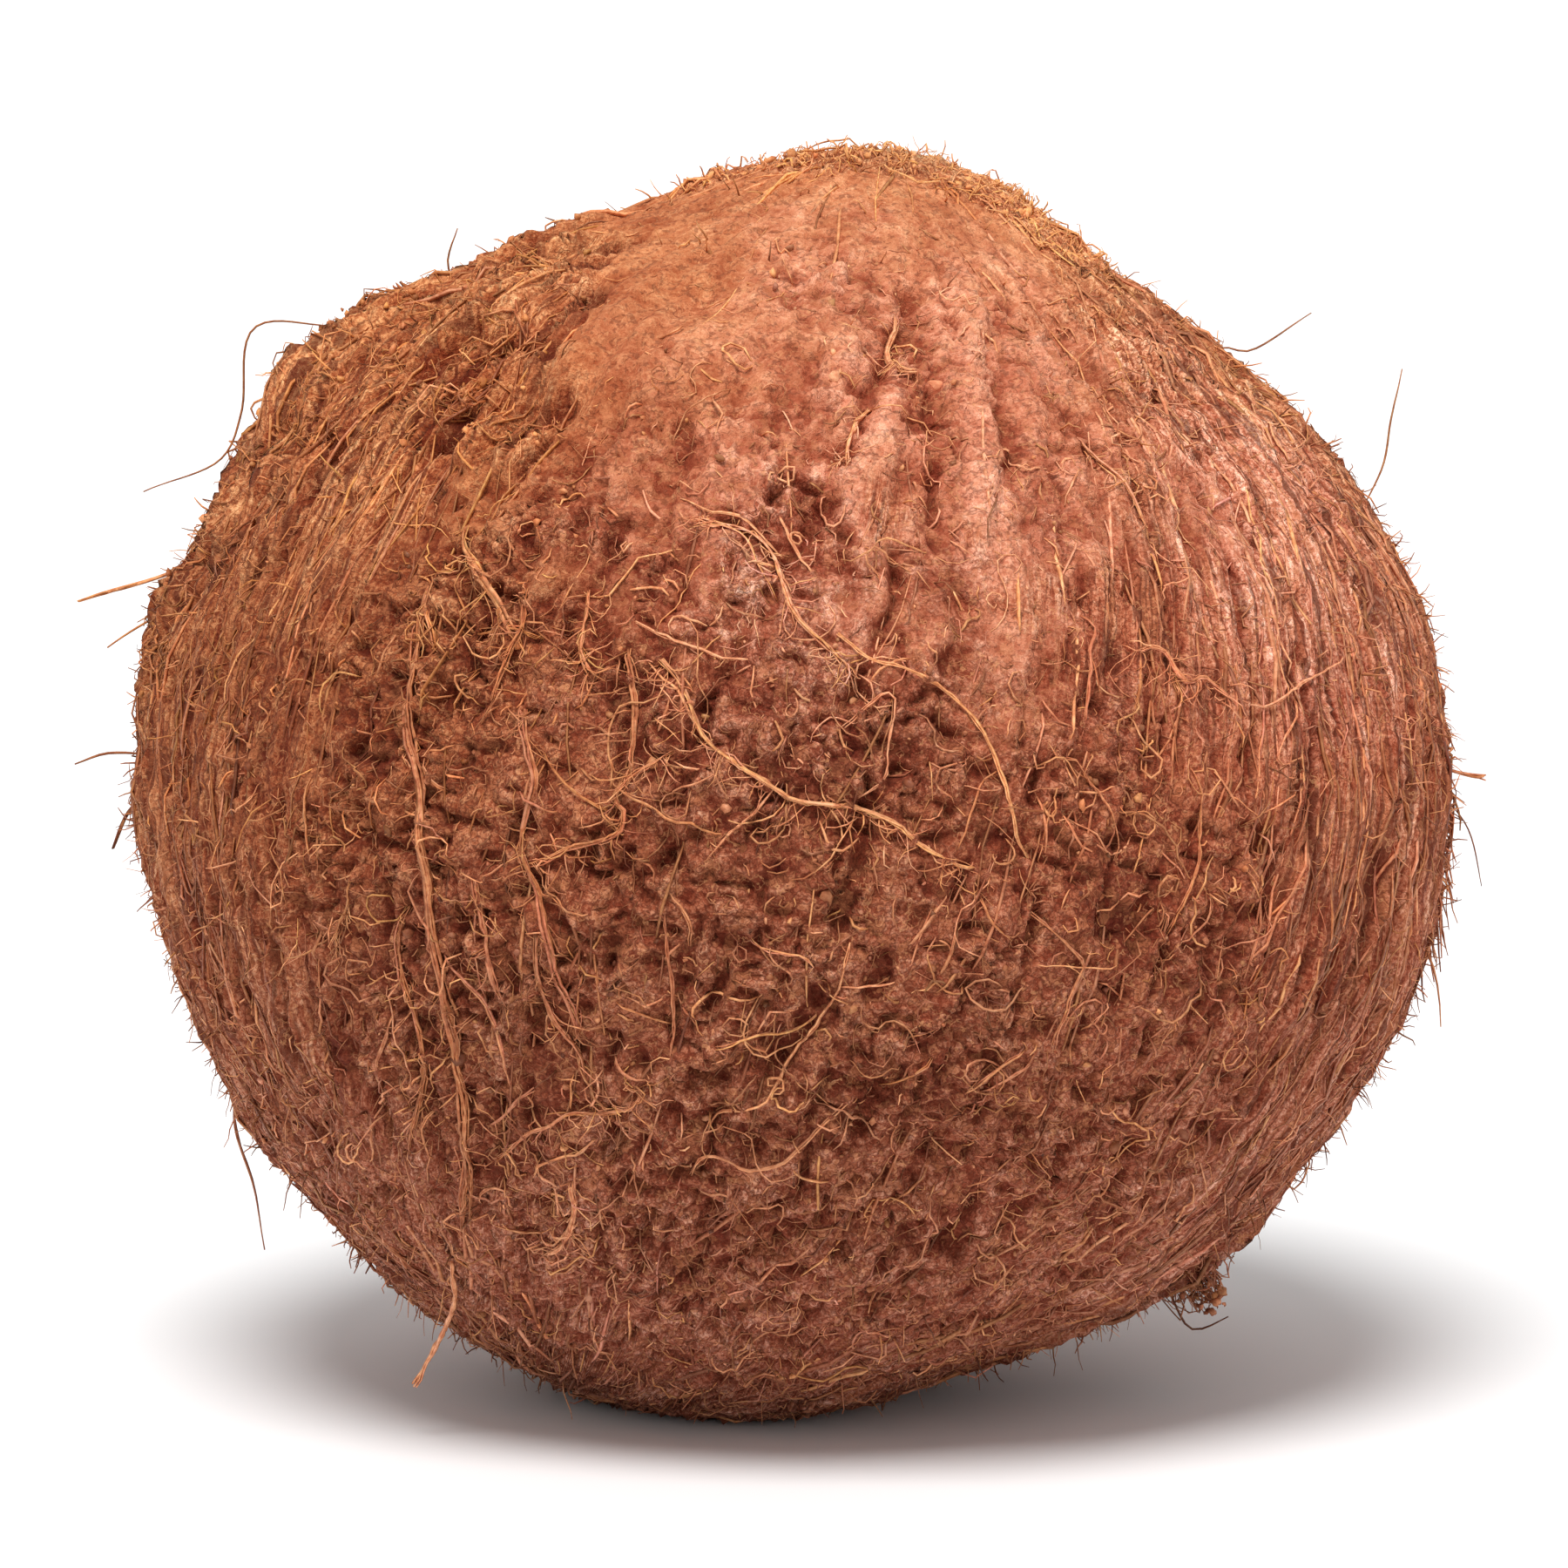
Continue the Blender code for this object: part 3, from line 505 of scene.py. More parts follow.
def fine_relief(ways):
    """(height, light) of the coir's strands, clumps, cracks and plates, which are too fine for the CAD model.

    Light is 1 on the raised bits and 0 in the gaps, along the seams and in shaded patches: it paints shade
    into the skin's colour.
    """
    matted, flaky, smooth, combed = cover(ways)
    shaggy = zone(ways, SHAGGY)
    warp = np.stack([lumpy(ways, 1.9, seed) for seed in (51, 52, 53)], -1)
    bent = unit(ways + warp * (0.7 * MM / MEAN_RADIUS))

    def comb(cell, seed):
        return combed_noise(bent, cell, seed)

    strands = [folds(comb(cell, seed), size) for cell, size, seed in STRAND_RELIEF]
    clumps = [folds(lumpy(bent, cell, seed), size) for cell, size, seed in CLUMP_RELIEF]
    ropes = sum(folds(comb(cell, seed), size, 0.45) for cell, size, seed in ROPES) * shaggy
    cracks = sum(depth * smoothstep(0.34, 0.60, comb(cell, seed)) for cell, depth, seed in CRACKS)
    gaps = GAPS[1] * smoothstep(0.36, 0.6, comb(GAPS[0], GAPS[2]))
    plates = comb(PLATES[0], PLATES[2])
    plates = smoothstep(-0.10, 0.0, plates) + smoothstep(0.28, 0.36, plates) - 1
    plates = PLATES[1] * plates * (0.1 + 0.9 * flaky)
    scales = sum(size * (smoothstep(-0.04, 0.12, comb(cell, seed)) - 0.5) for cell, size, seed in SCALES)
    uneven = 0.5 + smoothstep(-0.5, 0.5, lumpy(bent, 8.0, 47))
    clumped = (0.12 + 0.88 * matted + 0.15 * flaky + 0.15 * combed) * uneven
    seam = seams(bent)
    broad = strands[0] * combed + clumps[0] * clumped + plates + ropes
    sharp = sum(strands[1:]) * combed + sum(clumps[1:]) * clumped + scales * (0.8 * smooth + 1.5 * flaky)
    sharp -= cracks * matted + gaps * combed + SEAM_DEPTH * seam
    sharp -= 1.2 * smoothstep(0.3, 0.5, comb((1.6, 7.0), 54)) * shaggy
    # Painted shade: patches of the matted coir darkened in colour only, with no hollow in the relief.
    painted_hollow_shade = 0.22 * smoothstep(0.0, 0.7, lumpy(bent, 9.0, 48)) * matted
    # Painted shade: the colour is darker in the relief's low spots and along the seams.
    light = smoothstep(-0.70, 0.40, 0.45 * broad + sharp - painted_hollow_shade) * (1 - 0.75 * seam)
    return (broad + sharp) * MM, light


def room(ways):
    """How far the skin lies below the CAD model's, so that the fibres and tufts end up at its outline."""
    depth = np.full(ways.shape[:-1], HAIR_ROOM)
    for route, width, more in TUFT_ROOM:
        depth += more * MM * near_route(ways, route, width)
    return depth * smoothstep(-0.97, -0.75, ways[..., 2])


def coarse_relief(ways):
    """The CAD model's relief, with most of its ridges kept to where the coir is combed."""
    return lumps(ways) + ridges(ways) * (0.3 + 0.4 * cover(ways)[3]) - room(ways)


def relief(ways):
    return coarse_relief(ways) + fine_relief(ways)[0]


def tone(ways):
    """The coir's colour, region by region."""
    mixes = [
        (smoothstep(0.5, -0.8, ways[..., 0]), LEFT_COLOUR),
        (smoothstep(0.25, -0.90, ways[..., 2]), LOW_COLOUR),
        # Partly painted light: the coir is made lighter towards the top.
        (smoothstep(0.15, 0.85, ways[..., 2]), TOP_COLOUR_AND_PAINTED_LIGHT),
    ]
    for most, spots, outer, inner, other in ZONE_COLOURS:
        mixes.append((most * zone(ways, spots, outer, inner), other))
    colour = np.broadcast_to(np.array(COIR_COLOUR), ways.shape)
    for share, other in mixes:
        colour = colour + (np.array(other) - colour) * share[..., None]
    streaks = 0.18 * combed_noise(ways, (2.6, 20.0), 43)
    lobes = 0.34 * combed_noise(ways, (4.6, 24.0), 57) * zone(ways, FLAKY)
    varied = 1 + 0.18 * noise(ways * 8, 41) + 0.18 * noise(ways * 19, 42) + streaks + lobes
    return colour * varied[..., None] ** DEEPENING


def coir_way(ways):
    """The directions over the sphere in which the coir runs at unit vectors."""
    around, down = to_coir(ways)
    return unit(from_coir(around, down + 0.01) - ways)


def walks(starts, lengths, headings, bends, wander, steps, random):
    """Unit vectors along routes, each turned off the coir by a heading, a bend and a seeded wander."""
    way, turn, bend = starts, headings, bends
    routes = [way]
    for _ in range(steps):
        run = coir_way(way)
        across = np.cross(way, run)
        bend = 0.75 * bend + random.normal(0, 1, len(starts)) * wander
        turn = turn + bend
        step = (lengths / steps / MEAN_RADIUS)[:, None]
        way = unit(way + (np.cos(turn)[:, None] * run + np.sin(turn)[:, None] * across) * step)
        routes.append(way)
    return np.stack(routes, 1)


def scatter(random, count, weight):
    """Seeded unit vectors, as dense as a weight from 0 to 1 says."""
    kept = []
    found = 0
    while found < count:
        ways = unit(random.normal(0, 1, (4 * count, 3)))
        ways = ways[random.random(len(ways)) < weight(ways)]
        kept.append(ways)
        found += len(ways)
    return np.concatenate(kept)[:count]


def carried_sides(tangents):
    """A side direction at each point of each strand, carried along it without twist."""
    helper = np.where(np.abs(tangents[:, :1, 2:]) < 0.8, [[[0.0, 0.0, 1.0]]], [[[1.0, 0.0, 0.0]]])
    side = unit(np.cross(tangents[:, 0], helper[:, 0]))
    sides = [side]
    for place in range(1, tangents.shape[1]):
        ahead = tangents[:, place]
        side = unit(side - (side * ahead).sum(-1, keepdims=True) * ahead)
        sides.append(side)
    return np.stack(sides, 1)


def outside(points):
    """Whether points lie too far outside the CAD model's box."""
    low, high = np.array(CAD_BOX)
    return ((points < low - OVERHANG) | (points > high + OVERHANG)).any(-1)


class Bundle:
    """Strands and crumbs gathered for one mesh, with a colour at each point and its own seeded draws."""

    def __init__(self, seed):
        self.random = np.random.default_rng(seed)
        self.points, self.colours, self.faces, self.count = [], [], [], 0

    def gather(self, points, colours, face_groups):
        self.points.append(points.reshape(-1, 3))
        self.colours.append(colours)
        self.faces += [group + self.count for group in face_groups]
        self.count += points.size // 3

    def add(self, lines, radii, colours):
        """Closed tubes: lines (strand, point, xyz), radii (strand, point), colours (strand, point, rgb)."""
        keep = ((lines[..., 2] - radii).min(1) > FLOOR_GAP) & ~outside(lines).any(1)
        lines, radii, colours = lines[keep], radii[keep], colours[keep]
        tangents = unit(np.gradient(lines, axis=1))
        side = carried_sides(tangents)
        other = np.cross(tangents, side)
        angles = 2 * math.pi * np.arange(TUBE_SIDES) / TUBE_SIDES
        ring = np.cos(angles)[:, None] * side[:, :, None] + np.sin(angles)[:, None] * other[:, :, None]
        index = np.arange(radii.size * TUBE_SIDES).reshape(*radii.shape, TUBE_SIDES)
        beside = np.roll(index, -1, axis=2)
        quads = np.stack([index[:, :-1], beside[:, :-1], beside[:, 1:], index[:, 1:]], -1)
        points = lines[:, :, None] + radii[:, :, None, None] * ring
        colours = np.repeat(colours.reshape(-1, 3), TUBE_SIDES, axis=0)
        self.gather(points, colours, [quads.reshape(-1, 4), index[:, 0, ::-1], index[:, -1]])

    def add_crumbs(self, middles, sizes, colours):
        """Grains of irregular shapes: middles (grain, xyz), sizes (grain), colours (grain, rgb)."""
        ball = bmesh.new()
        bmesh.ops.create_icosphere(ball, subdivisions=1, radius=1.0)
        corners = np.array([corner.co for corner in ball.verts])
        faces = np.array([[corner.index for corner in face.verts] for face in ball.faces])
        ball.free()
        keep = (middles[:, 2] - 2 * sizes > FLOOR_GAP) & ~outside(middles)
        middles, sizes, colours = middles[keep], sizes[keep], colours[keep]
        count, each = len(middles), len(corners)
        shapes = corners * self.random.uniform(0.45, 1.35, (count, each, 1))
        shapes = shapes * self.random.uniform(0.35, 1.4, (count, 1, 3))
        turns = np.linalg.qr(self.random.normal(0, 1, (count, 3, 3)))[0]
        turns *= np.linalg.det(turns)[:, None, None]
        points = middles[:, None] + (shapes @ turns) * sizes[:, None, None]
        faces = (each * np.arange(count))[:, None, None] + faces
        self.gather(points, np.repeat(colours, each, axis=0), [faces.reshape(-1, 3)])

    def make(self, name, material):
        piece = mesh_piece(name, np.concatenate(self.points), self.faces, material)
        paint(piece, np.concatenate(self.colours))


def new_object(name, data):
    made = bpy.data.objects.new(name, data)
    bpy.context.scene.collection.objects.link(made)
    return made


def mesh_piece(name, points, face_groups, material):
    """A smooth-shaded mesh object from points and groups of faces that have equal numbers of corners."""
    corners = np.concatenate([group.ravel() for group in face_groups])
    sizes = np.concatenate([np.full(len(group), group.shape[1]) for group in face_groups])
    mesh = bpy.data.meshes.new(name)
    mesh.vertices.add(len(points))
    mesh.vertices.foreach_set("co", points.astype(np.float32).ravel())
    mesh.loops.add(len(corners))
    mesh.loops.foreach_set("vertex_index", corners.astype(np.int32))
    mesh.polygons.add(len(sizes))
    mesh.polygons.foreach_set("loop_start", (np.cumsum(sizes) - sizes).astype(np.int32))
    mesh.update(calc_edges=True)
    mesh.shade_smooth()
    mesh.materials.append(material)
    piece = new_object(name, mesh)
    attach(piece, "root")
    return piece


def store(piece, name, kind, field, values):
    """Stores a value at each point, for the materials."""
    attribute = piece.data.attributes.new(name, kind, "POINT")
    attribute.data.foreach_set(field, values.astype(np.float32).ravel())


def paint(piece, colours):
    store(piece, "tone", "FLOAT_COLOR", "color", np.clip(np.insert(colours, 3, 1.0, axis=-1), 0, 1))


def cube_sphere(cells):
    """For each side of a cube blown up to a sphere: the unit vectors of its grid, its cells and its walls."""
    steps = np.tan(np.linspace(-math.pi / 4, math.pi / 4, cells + 1))
    first, second = np.meshgrid(steps, steps, indexing="ij")
    index = np.arange(first.size).reshape(first.shape)
    faces = np.stack([index[:-1, :-1], index[1:, :-1], index[1:, 1:], index[:-1, 1:]], -1).reshape(-1, 4)
    edge = np.concatenate([index[:-1, 0], index[-1, :-1], index[:0:-1, -1], index[0, :0:-1]])
    walls = np.stack([np.roll(edge, -1), edge, np.full(len(edge), first.size)], -1)
    for axis in range(3):
        for end in (1, -1):
            corner = np.roll(np.stack([np.full(first.shape, end), first, second], -1), axis, axis=-1)
            yield unit(moved(unit(corner.reshape(-1, 3)), SKIN_FOCUS)), faces[:, ::end], walls[:, ::end]


def shared_normals(sides, ways, points):
    """Normals at each point of each side of the skin, alike where two sides meet."""
    normals = np.zeros_like(points)
    for (_, faces, _), part, total in zip(sides, points, normals):
        corners = part[faces]
        facing = np.cross(corners[:, 2] - corners[:, 0], corners[:, 3] - corners[:, 1])
        for place in range(4):
            np.add.at(total, faces[:, place], facing)
    rounded = np.round(ways.reshape(-1, 3) * 1e7).astype(np.int64)
    shared = np.unique(rounded, axis=0, return_inverse=True)[1].reshape(-1)
    total = np.stack([np.bincount(shared, normals[..., axis].ravel()) for axis in range(3)], -1)
    return unit(total)[shared].reshape(points.shape)


def make_skin(material):
    """The nut's own surface: pith with combed ridges, clumps, cracks, grooves and pits, flat where it rests.

    Each side goes down to the nut's middle, so that it is a closed body.
    """
    sides = list(cube_sphere(SKIN_CELLS))
    ways = np.stack([side[0] for side in sides])
    fine, light = fine_relief(ways)
    points = surface(ways, coarse_relief(ways) + fine)
    points[..., 2] = np.maximum(points[..., 2], 0.0)
    normals = shared_normals(sides, ways, points)
    # Painted shade: the tone is darkened and reddened in the relief's gaps, seams and shaded patches.
    colours = tone(ways) * (0.27 + 0.90 * light)[..., None] ** DEEPENING
    around, down = to_coir(ways)
    places = np.stack([np.cos(around), np.sin(around), down], -1) * MEAN_RADIUS
    matted, flaky, _, combed = cover(ways)

    def closed(values, number):
        """The values of one side, with its first one again for the nut's middle."""
        return np.concatenate([values[number], values[number, :1]])

    for number, (name, (_, faces, walls)) in enumerate(zip(SKIN_SIDES, sides)):
        skin = mesh_piece(f"coir_body_{name}", np.vstack([points[number], CENTRE]), [faces, walls], material)
        paint(skin, closed(colours, number))
        store(skin, "coir_place", "FLOAT_VECTOR", "vector", closed(places, number))
        for layer, values in (("combed", combed), ("matted", matted), ("flaky", flaky)):
            store(skin, layer, "FLOAT", "value", closed(values, number))
        skin.data.normals_split_custom_set_from_vertices(closed(normals, number))
        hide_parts("coconut")


def fibre_colours(ways, random, bright, spread, pale=0.0):
    """A colour for each point of each strand: its region's, lighter, and mixed with a clean fibre's tan."""
    strands, places = ways.shape[:2]
    base = tone(ways[:, places // 2]) * FIBRE_TINT * bright ** np.array(FIBRE_DEEPENING)
    share = np.clip(random.normal(pale + 0.06, 0.15, strands), 0, 1)[:, None]
    lighter = np.exp(random.normal(0, spread, strands))[:, None] ** FIBRE_DEEPENING
    colour = (base + (np.array(CLEAN_FIBRE) - base) * share) * lighter
    colour = colour * (1 + np.array([0.0, 0.03, -0.08]) * random.normal(0, 1, (strands, 1)))
    along = 1 + 0.10 * random.normal(0, 1, (strands, places))
    colour = colour[:, None] * along[..., None]
    return colour / np.maximum(1, colour.max(-1, keepdims=True) / LIGHTEST)


def grow(bundle, starts, length, radius, steps, heading, bend, wander, rise, taper, look, lean=0.0):
    """Fibres over the coir from these starts. Lengths, radii and heights are in mm.

    rise(along) draws their heights and taper(along) gives their thickness, with along from 0 to 1.
    """
    random, count = bundle.random, len(starts)
    along = np.linspace(0, 1, steps + 1)
    ways = walks(starts, random.uniform(*length, count) * MM, lean + random.normal(0, heading, count),
                 random.normal(0, bend, count), wander, steps, random)
    lines = surface(ways, relief(ways) + rise(along) * MM)
    radii = random.uniform(*radius, count)[:, None] * MM * taper(along)
    bundle.add(lines, radii, fibre_colours(ways, random, *look))


def lay_fibres(bundle, starts, length, radius, steps, heading=0.12, bend=0.0, wander=0.04, lift=(0.05, 0.25),
               root=-0.25, wave=0.1, bright=1.25, spread=0.3, pale=0.0, free_end=0.0):
    """Fibres that arch over the coir, with a share of them free at one end."""
    random, count = bundle.random, len(starts)

    def rise(along):
        arch = np.sin(math.pi * along) ** 0.5
        free = random.random(count)[:, None] < free_end
        climb = np.where(free, np.sin(0.5 * math.pi * along) ** 0.7, arch)
        top = random.uniform(*lift, count)[:, None]
        return root + (top - root) * climb + wave * random.normal(0, 1, (count, steps + 1)) * arch

    def taper(along):
        return 0.35 + 0.65 * np.sin(math.pi * np.clip(along, 0.04, 0.96)) ** 0.5

    grow(bundle, starts, length, radius, steps, heading, bend, wander, rise, taper, (bright, spread, pale))


def stand_hairs(bundle, starts, top, least, low, sunk, curve, thinner, **fibre):
    """Hairs that rise to at most this height in mm. The larger low is, the more of them stay lower."""

    def rise(along):
        return along**curve * (bundle.random.uniform(least, 1, len(starts)) ** low * top)[:, None] - sunk

    grow(bundle, starts, rise=rise, taper=lambda along: 1 - thinner * along, **fibre)


def lay_crumbs(bundle, starts, sizes, heights, bright, spread):
    """Crumbs of pith at these heights over the coir."""
    colours = fibre_colours(starts[:, None], bundle.random, bright, spread)[:, 0]
    bundle.add_crumbs(surface(starts, relief(starts) + heights), sizes, colours)


def front(ways):
    """A little denser on the side that faces the camera."""
    return 0.75 + 0.25 * smoothstep(0.3, -0.3, ways[..., 1])


def rim(ways):
    """Denser round the nut's left and right, below its shoulders."""
    return 0.22 + 0.78 * bell(ways[..., 1], 0.22) * smoothstep(0.75, 0.2, ways[..., 2])


def lay_combed(bundle):
    """Straight fibres, laid side by side along the coir, where it isn't matted."""

    def weight(ways):
        matted, _, _, combed = cover(ways)
        return front(ways) * np.clip(combed + 0.2 * matted, 0, 1)

    lay_fibres(bundle, scatter(bundle.random, 3300, weight), length=(5, 16), radius=(0.09, 0.24), steps=5,
               heading=0.10, wander=0.05, lift=(-0.12, 0.14), wave=0.07, bright=1.0, spread=0.38, pale=0.02)
    lay_fibres(bundle, scatter(bundle.random, 1300, weight), length=(1.5, 6), radius=(0.05, 0.11), steps=3,
               heading=0.6, bend=0.2, wander=0.25, lift=(0.15, 0.7), bright=1.15, spread=0.42, pale=0.1,
               free_end=0.5)


def lay_matted(bundle):
    """Curled fibres in the matted zones, thin ones over thicker ones, with crumbs of pith between them."""
    random = bundle.random

    def weight(ways):
        matted, flaky, _, _ = cover(ways)
        return front(ways) * np.clip(matted + 0.4 * flaky + 0.04, 0, 1)

    lay_fibres(bundle, scatter(random, 430, weight), length=(4, 12), radius=(0.07, 0.14), steps=11,
               heading=0.7, bend=0.08, wander=0.38, lift=(0.2, 0.9), wave=0.12, bright=1.4, spread=0.22,
               pale=0.35, free_end=0.4)
    lay_fibres(bundle, scatter(random, 2000, weight), length=(1.2, 4.5), radius=(0.06, 0.14), steps=4,
               heading=1.4, bend=0.35, wander=0.45, lift=(0.0, 0.45), wave=0.08, bright=1.2, spread=0.4,
               pale=0.1, free_end=0.5)
    starts = scatter(random, 2000, weight)
    sizes = random.uniform(0.14, 0.36, len(starts)) * MM * np.exp(random.normal(0, 0.25, len(starts)))
    lay_crumbs(bundle, starts, sizes, random.uniform(-0.4, 0.5, len(starts)) * sizes, bright=0.75, spread=0.4)


def lay_fuzz(bundle):
    """Short fine hairs in all directions, low over the coir and standing a little away from it."""
    way = dict(steps=3, heading=1.3, bend=0.5, wander=0.4, least=0.1, sunk=0.1, curve=0.8, thinner=0.6)

    def rough(ways):
        return 1 - 0.85 * zone(ways, SMOOTH) * (1 - zone(ways, TUFTED))

    def rough_rim(ways):
        return rim(ways) * (1 - 0.6 * zone(ways, SMOOTH))

    stand_hairs(bundle, scatter(bundle.random, 4800, rough), length=(0.9, 3.6), top=0.7, low=2.0,
                radius=(0.04, 0.09), look=(1.05, 0.5, 0.12), **way)
    stand_hairs(bundle, scatter(bundle.random, 4200, rough_rim), length=(0.5, 1.9), top=2.2, low=1.3,
                radius=(0.05, 0.13), look=(0.9, 0.5, 0.12), **way)


def hang(bundle, starts, length, out, radius, sideways, steps=4):
    """Hairs that come away from the nut at these places and hang down. Lengths in mm."""
    random, count = bundle.random, len(starts)
    along = np.linspace(0, 1, steps + 1)
    beside = np.cross(starts, [0.0, 0.0, 1.0])
    fall = np.array([0.0, 0.0, -1.0]) + sideways * random.normal(0, 1, (count, 1)) * beside
    reach = random.uniform(*length, count)[:, None, None] * MM
    away = random.uniform(*out, count)[:, None, None] * MM
    curve = 0.5 * random.normal(0, 1, (count, 1, 1)) * MM * beside[:, None] * along[:, None] ** 2
    roots = surface(starts, relief(starts) - 0.3 * MM)
    lines = roots[:, None] + fall[:, None] * reach * along[:, None]
    lines = lines + starts[:, None] * away * np.sqrt(along)[:, None]
    lines = lines + curve + 0.12 * MM * random.normal(0, 1, lines.shape) * along[:, None]
    drop = np.linalg.norm(lines - CENTRE, axis=-1)
    least = np.where(along > 0, outline_radius(unit(lines - CENTRE)) + 0.2 * MM, 0)
    lines = CENTRE + (lines - CENTRE) * (np.maximum(drop, least) / drop)[..., None]
    radii = random.uniform(*radius, count)[:, None] * MM * (1 - 0.6 * along)
    bundle.add(lines, radii, fibre_colours(unit(lines - CENTRE), random, 0.9, 0.4, 0.08))


def lay_tufts(bundle, tufts, fibres):
    """Shaggy tufts of this many fibres, which lean one way and bow out from the coir."""
    random, count = bundle.random, len(tufts) * fibres
    starts = unit(np.repeat(tufts, fibres, axis=0) + random.normal(0, TUFT_WIDTH / MEAN_RADIUS, (count, 3)))
    lean = np.repeat(random.normal(0, 0.3, len(tufts)), fibres)
    top = np.repeat(random.uniform(0.3, 1.6, len(tufts)), fibres) * random.uniform(0.3, 1.1, count)
    grow(bundle, starts, length=(1.5, 5.5), radius=(0.06, 0.2), steps=5, heading=0.3, bend=0.15, wander=0.25,
         rise=lambda along: np.sin(2.4 * along) * top[:, None] - 0.3, taper=lambda along: 1 - 0.6 * along,
         look=(0.95, 0.35, 0.0), lean=lean)


def lay_heap(bundle, spot, reach, height, count):
    """A heap of loose crumbs with short fibres through it."""
    random = bundle.random
    starts = unit(from_degrees(*spot) + random.normal(0, reach * MM / MEAN_RADIUS, (count, 3)))
    share = near(starts, spot, 1.5 * reach)
    sizes = random.uniform(0.15, 0.45, count) * MM
    heights = random.uniform(0, 1, count) * height * MM * share
    lay_crumbs(bundle, starts, sizes, heights, bright=1.0, spread=0.3)
    lay_fibres(bundle, starts[::3], length=(1.5, 5), radius=(0.05, 0.1), steps=5, heading=1.5, bend=0.5,
               wander=0.5, lift=(0.1 * height, 0.9 * height), bright=0.9, spread=0.4)


def lay_fringe(bundle):
    """Shaggy tufts, hairs that hang from the nut's sides, and the coarse stubs and crumbs round its peak."""
    random = bundle.random
    hang(bundle, scatter(random, 44, within(HANGING)), length=(2, 7), out=(0.4, 2.0), radius=(0.10, 0.2),
         sideways=0.05)
    hang(bundle, scatter(random, 520, lambda ways: 1 - zone(ways, SMOOTH)), length=(1, 3.6), out=(0.3, 1.6),
         radius=(0.05, 0.11), sideways=0.8)
    lay_tufts(bundle, scatter(random, 130, within(SHAGGY)), fibres=8)
    stand_hairs(bundle, scatter(random, 480, within(TUFTED)), length=(0.8, 2.6), radius=(0.05, 0.15), steps=5,
                heading=1.2, bend=0.3, wander=0.3, top=1.5, least=0.2, low=1.5, sunk=0.25, curve=0.7,
                thinner=0.5, look=(1.15, 0.3, 0.0))
    for heap in HEAPS:
        lay_heap(bundle, *heap)
    for spots, count in ((TUFTED, 200), (SHAGGY, 400), (HANGING, 60)):
        starts = scatter(random, count, within(spots))
        sizes = random.uniform(0.15, 0.5, count) * MM
        lay_crumbs(bundle, starts, sizes, random.uniform(-0.4, 0.8, count) * sizes, bright=1.0, spread=0.25)


def smooth_route(stops, spacing):
    """Evenly spaced rows through these rows, on one smooth curve. The first three columns are a direction."""
    padded = np.vstack([2 * stops[0] - stops[1], stops, 2 * stops[-1] - stops[-2]])
    share = np.linspace(0, 1, 9)[:-1, None]
    rows = []
    for before, start, end, after in zip(padded, padded[1:], padded[2:], padded[3:]):
        square = (2 * before - 5 * start + 4 * end - after) * share**2
        cube = (3 * start - before - 3 * end + after) * share**3
        rows.append(0.5 * (2 * start + (end - before) * share + square + cube))
    rows = np.vstack(rows + [stops[-1:]])
    moves = np.diff(rows, axis=0) * [MEAN_RADIUS, MEAN_RADIUS, MEAN_RADIUS, MM]
    run = np.append(0, np.cumsum(np.linalg.norm(moves, axis=-1)))
    marks = np.linspace(0, run[-1], max(4, round(run[-1] / spacing) + 1))
    return np.stack([np.interp(marks, run, column) for column in rows.T], -1), run[-1]


def lay_route(bundle, route, lift):
    """A strand of several fibres, twisted round each other and frayed at its ends, along a chosen route."""
    random = bundle.random
    width, fibres, light, *stops = route
    stops = np.array(stops, float)
    loose = stops.shape[1] > 2
    heights = stops[:, 2] if loose else np.full(len(stops), lift)
    rows, length = smooth_route(np.column_stack([from_degrees(*stops.T[:2]), heights]), ROUTE_STEP)
    middle = unit(rows[:, :3])
    across = unit(np.cross(middle, np.gradient(middle, axis=0)))
    along = np.linspace(0, 1, len(rows))
    each = (fibres, len(rows))
    phase = random.uniform(0, 2 * math.pi, fibres)[:, None]
    spread = random.uniform(-0.5, 0.5, fibres)[:, None] if fibres > 1 else np.zeros((1, 1))
    twist = phase + along * length / TWIST_LENGTH * math.pi + 0.5 * random.normal(0, 1, each).cumsum(1) * 0.3
    fray = 1 + 0.8 * np.abs(2 * along - 1) ** 6
    aside = width * MM * (0.36 * spread + 0.10 * np.sin(twist)) * fray
    wobble = 0.05 * MM * random.normal(0, 1, each)
    ways = unit(middle + ((aside + wobble) / MEAN_RADIUS)[..., None] * across)
    sunk = 0.0 if loose else -0.5 * np.abs(2 * along - 1) ** 8
    above = rows[:, 3] + 0.15 * width * np.cos(twist) + sunk
    ground = coarse_relief(ways) if loose else relief(ways)
    padded = np.pad(ground, ((0, 0), (2, 2)), mode="edge")
    smoothed = np.stack([np.convolve(row, np.ones(5) / 5, mode="valid") for row in padded])
    lines = surface(ways, smoothed + above * MM)
    taper = 0.30 + 0.70 * np.sin(math.pi * np.clip(along, 0.06, 0.94)) ** 0.6
    radii = 0.44 * width / fibres**0.5 * MM * taper * random.uniform(0.8, 1.15, (fibres, 1))
    bundle.add(lines, radii, fibre_colours(ways, random, 0.9 * light, 0.1, max(0.05, 0.55 * (light - 1.7))))


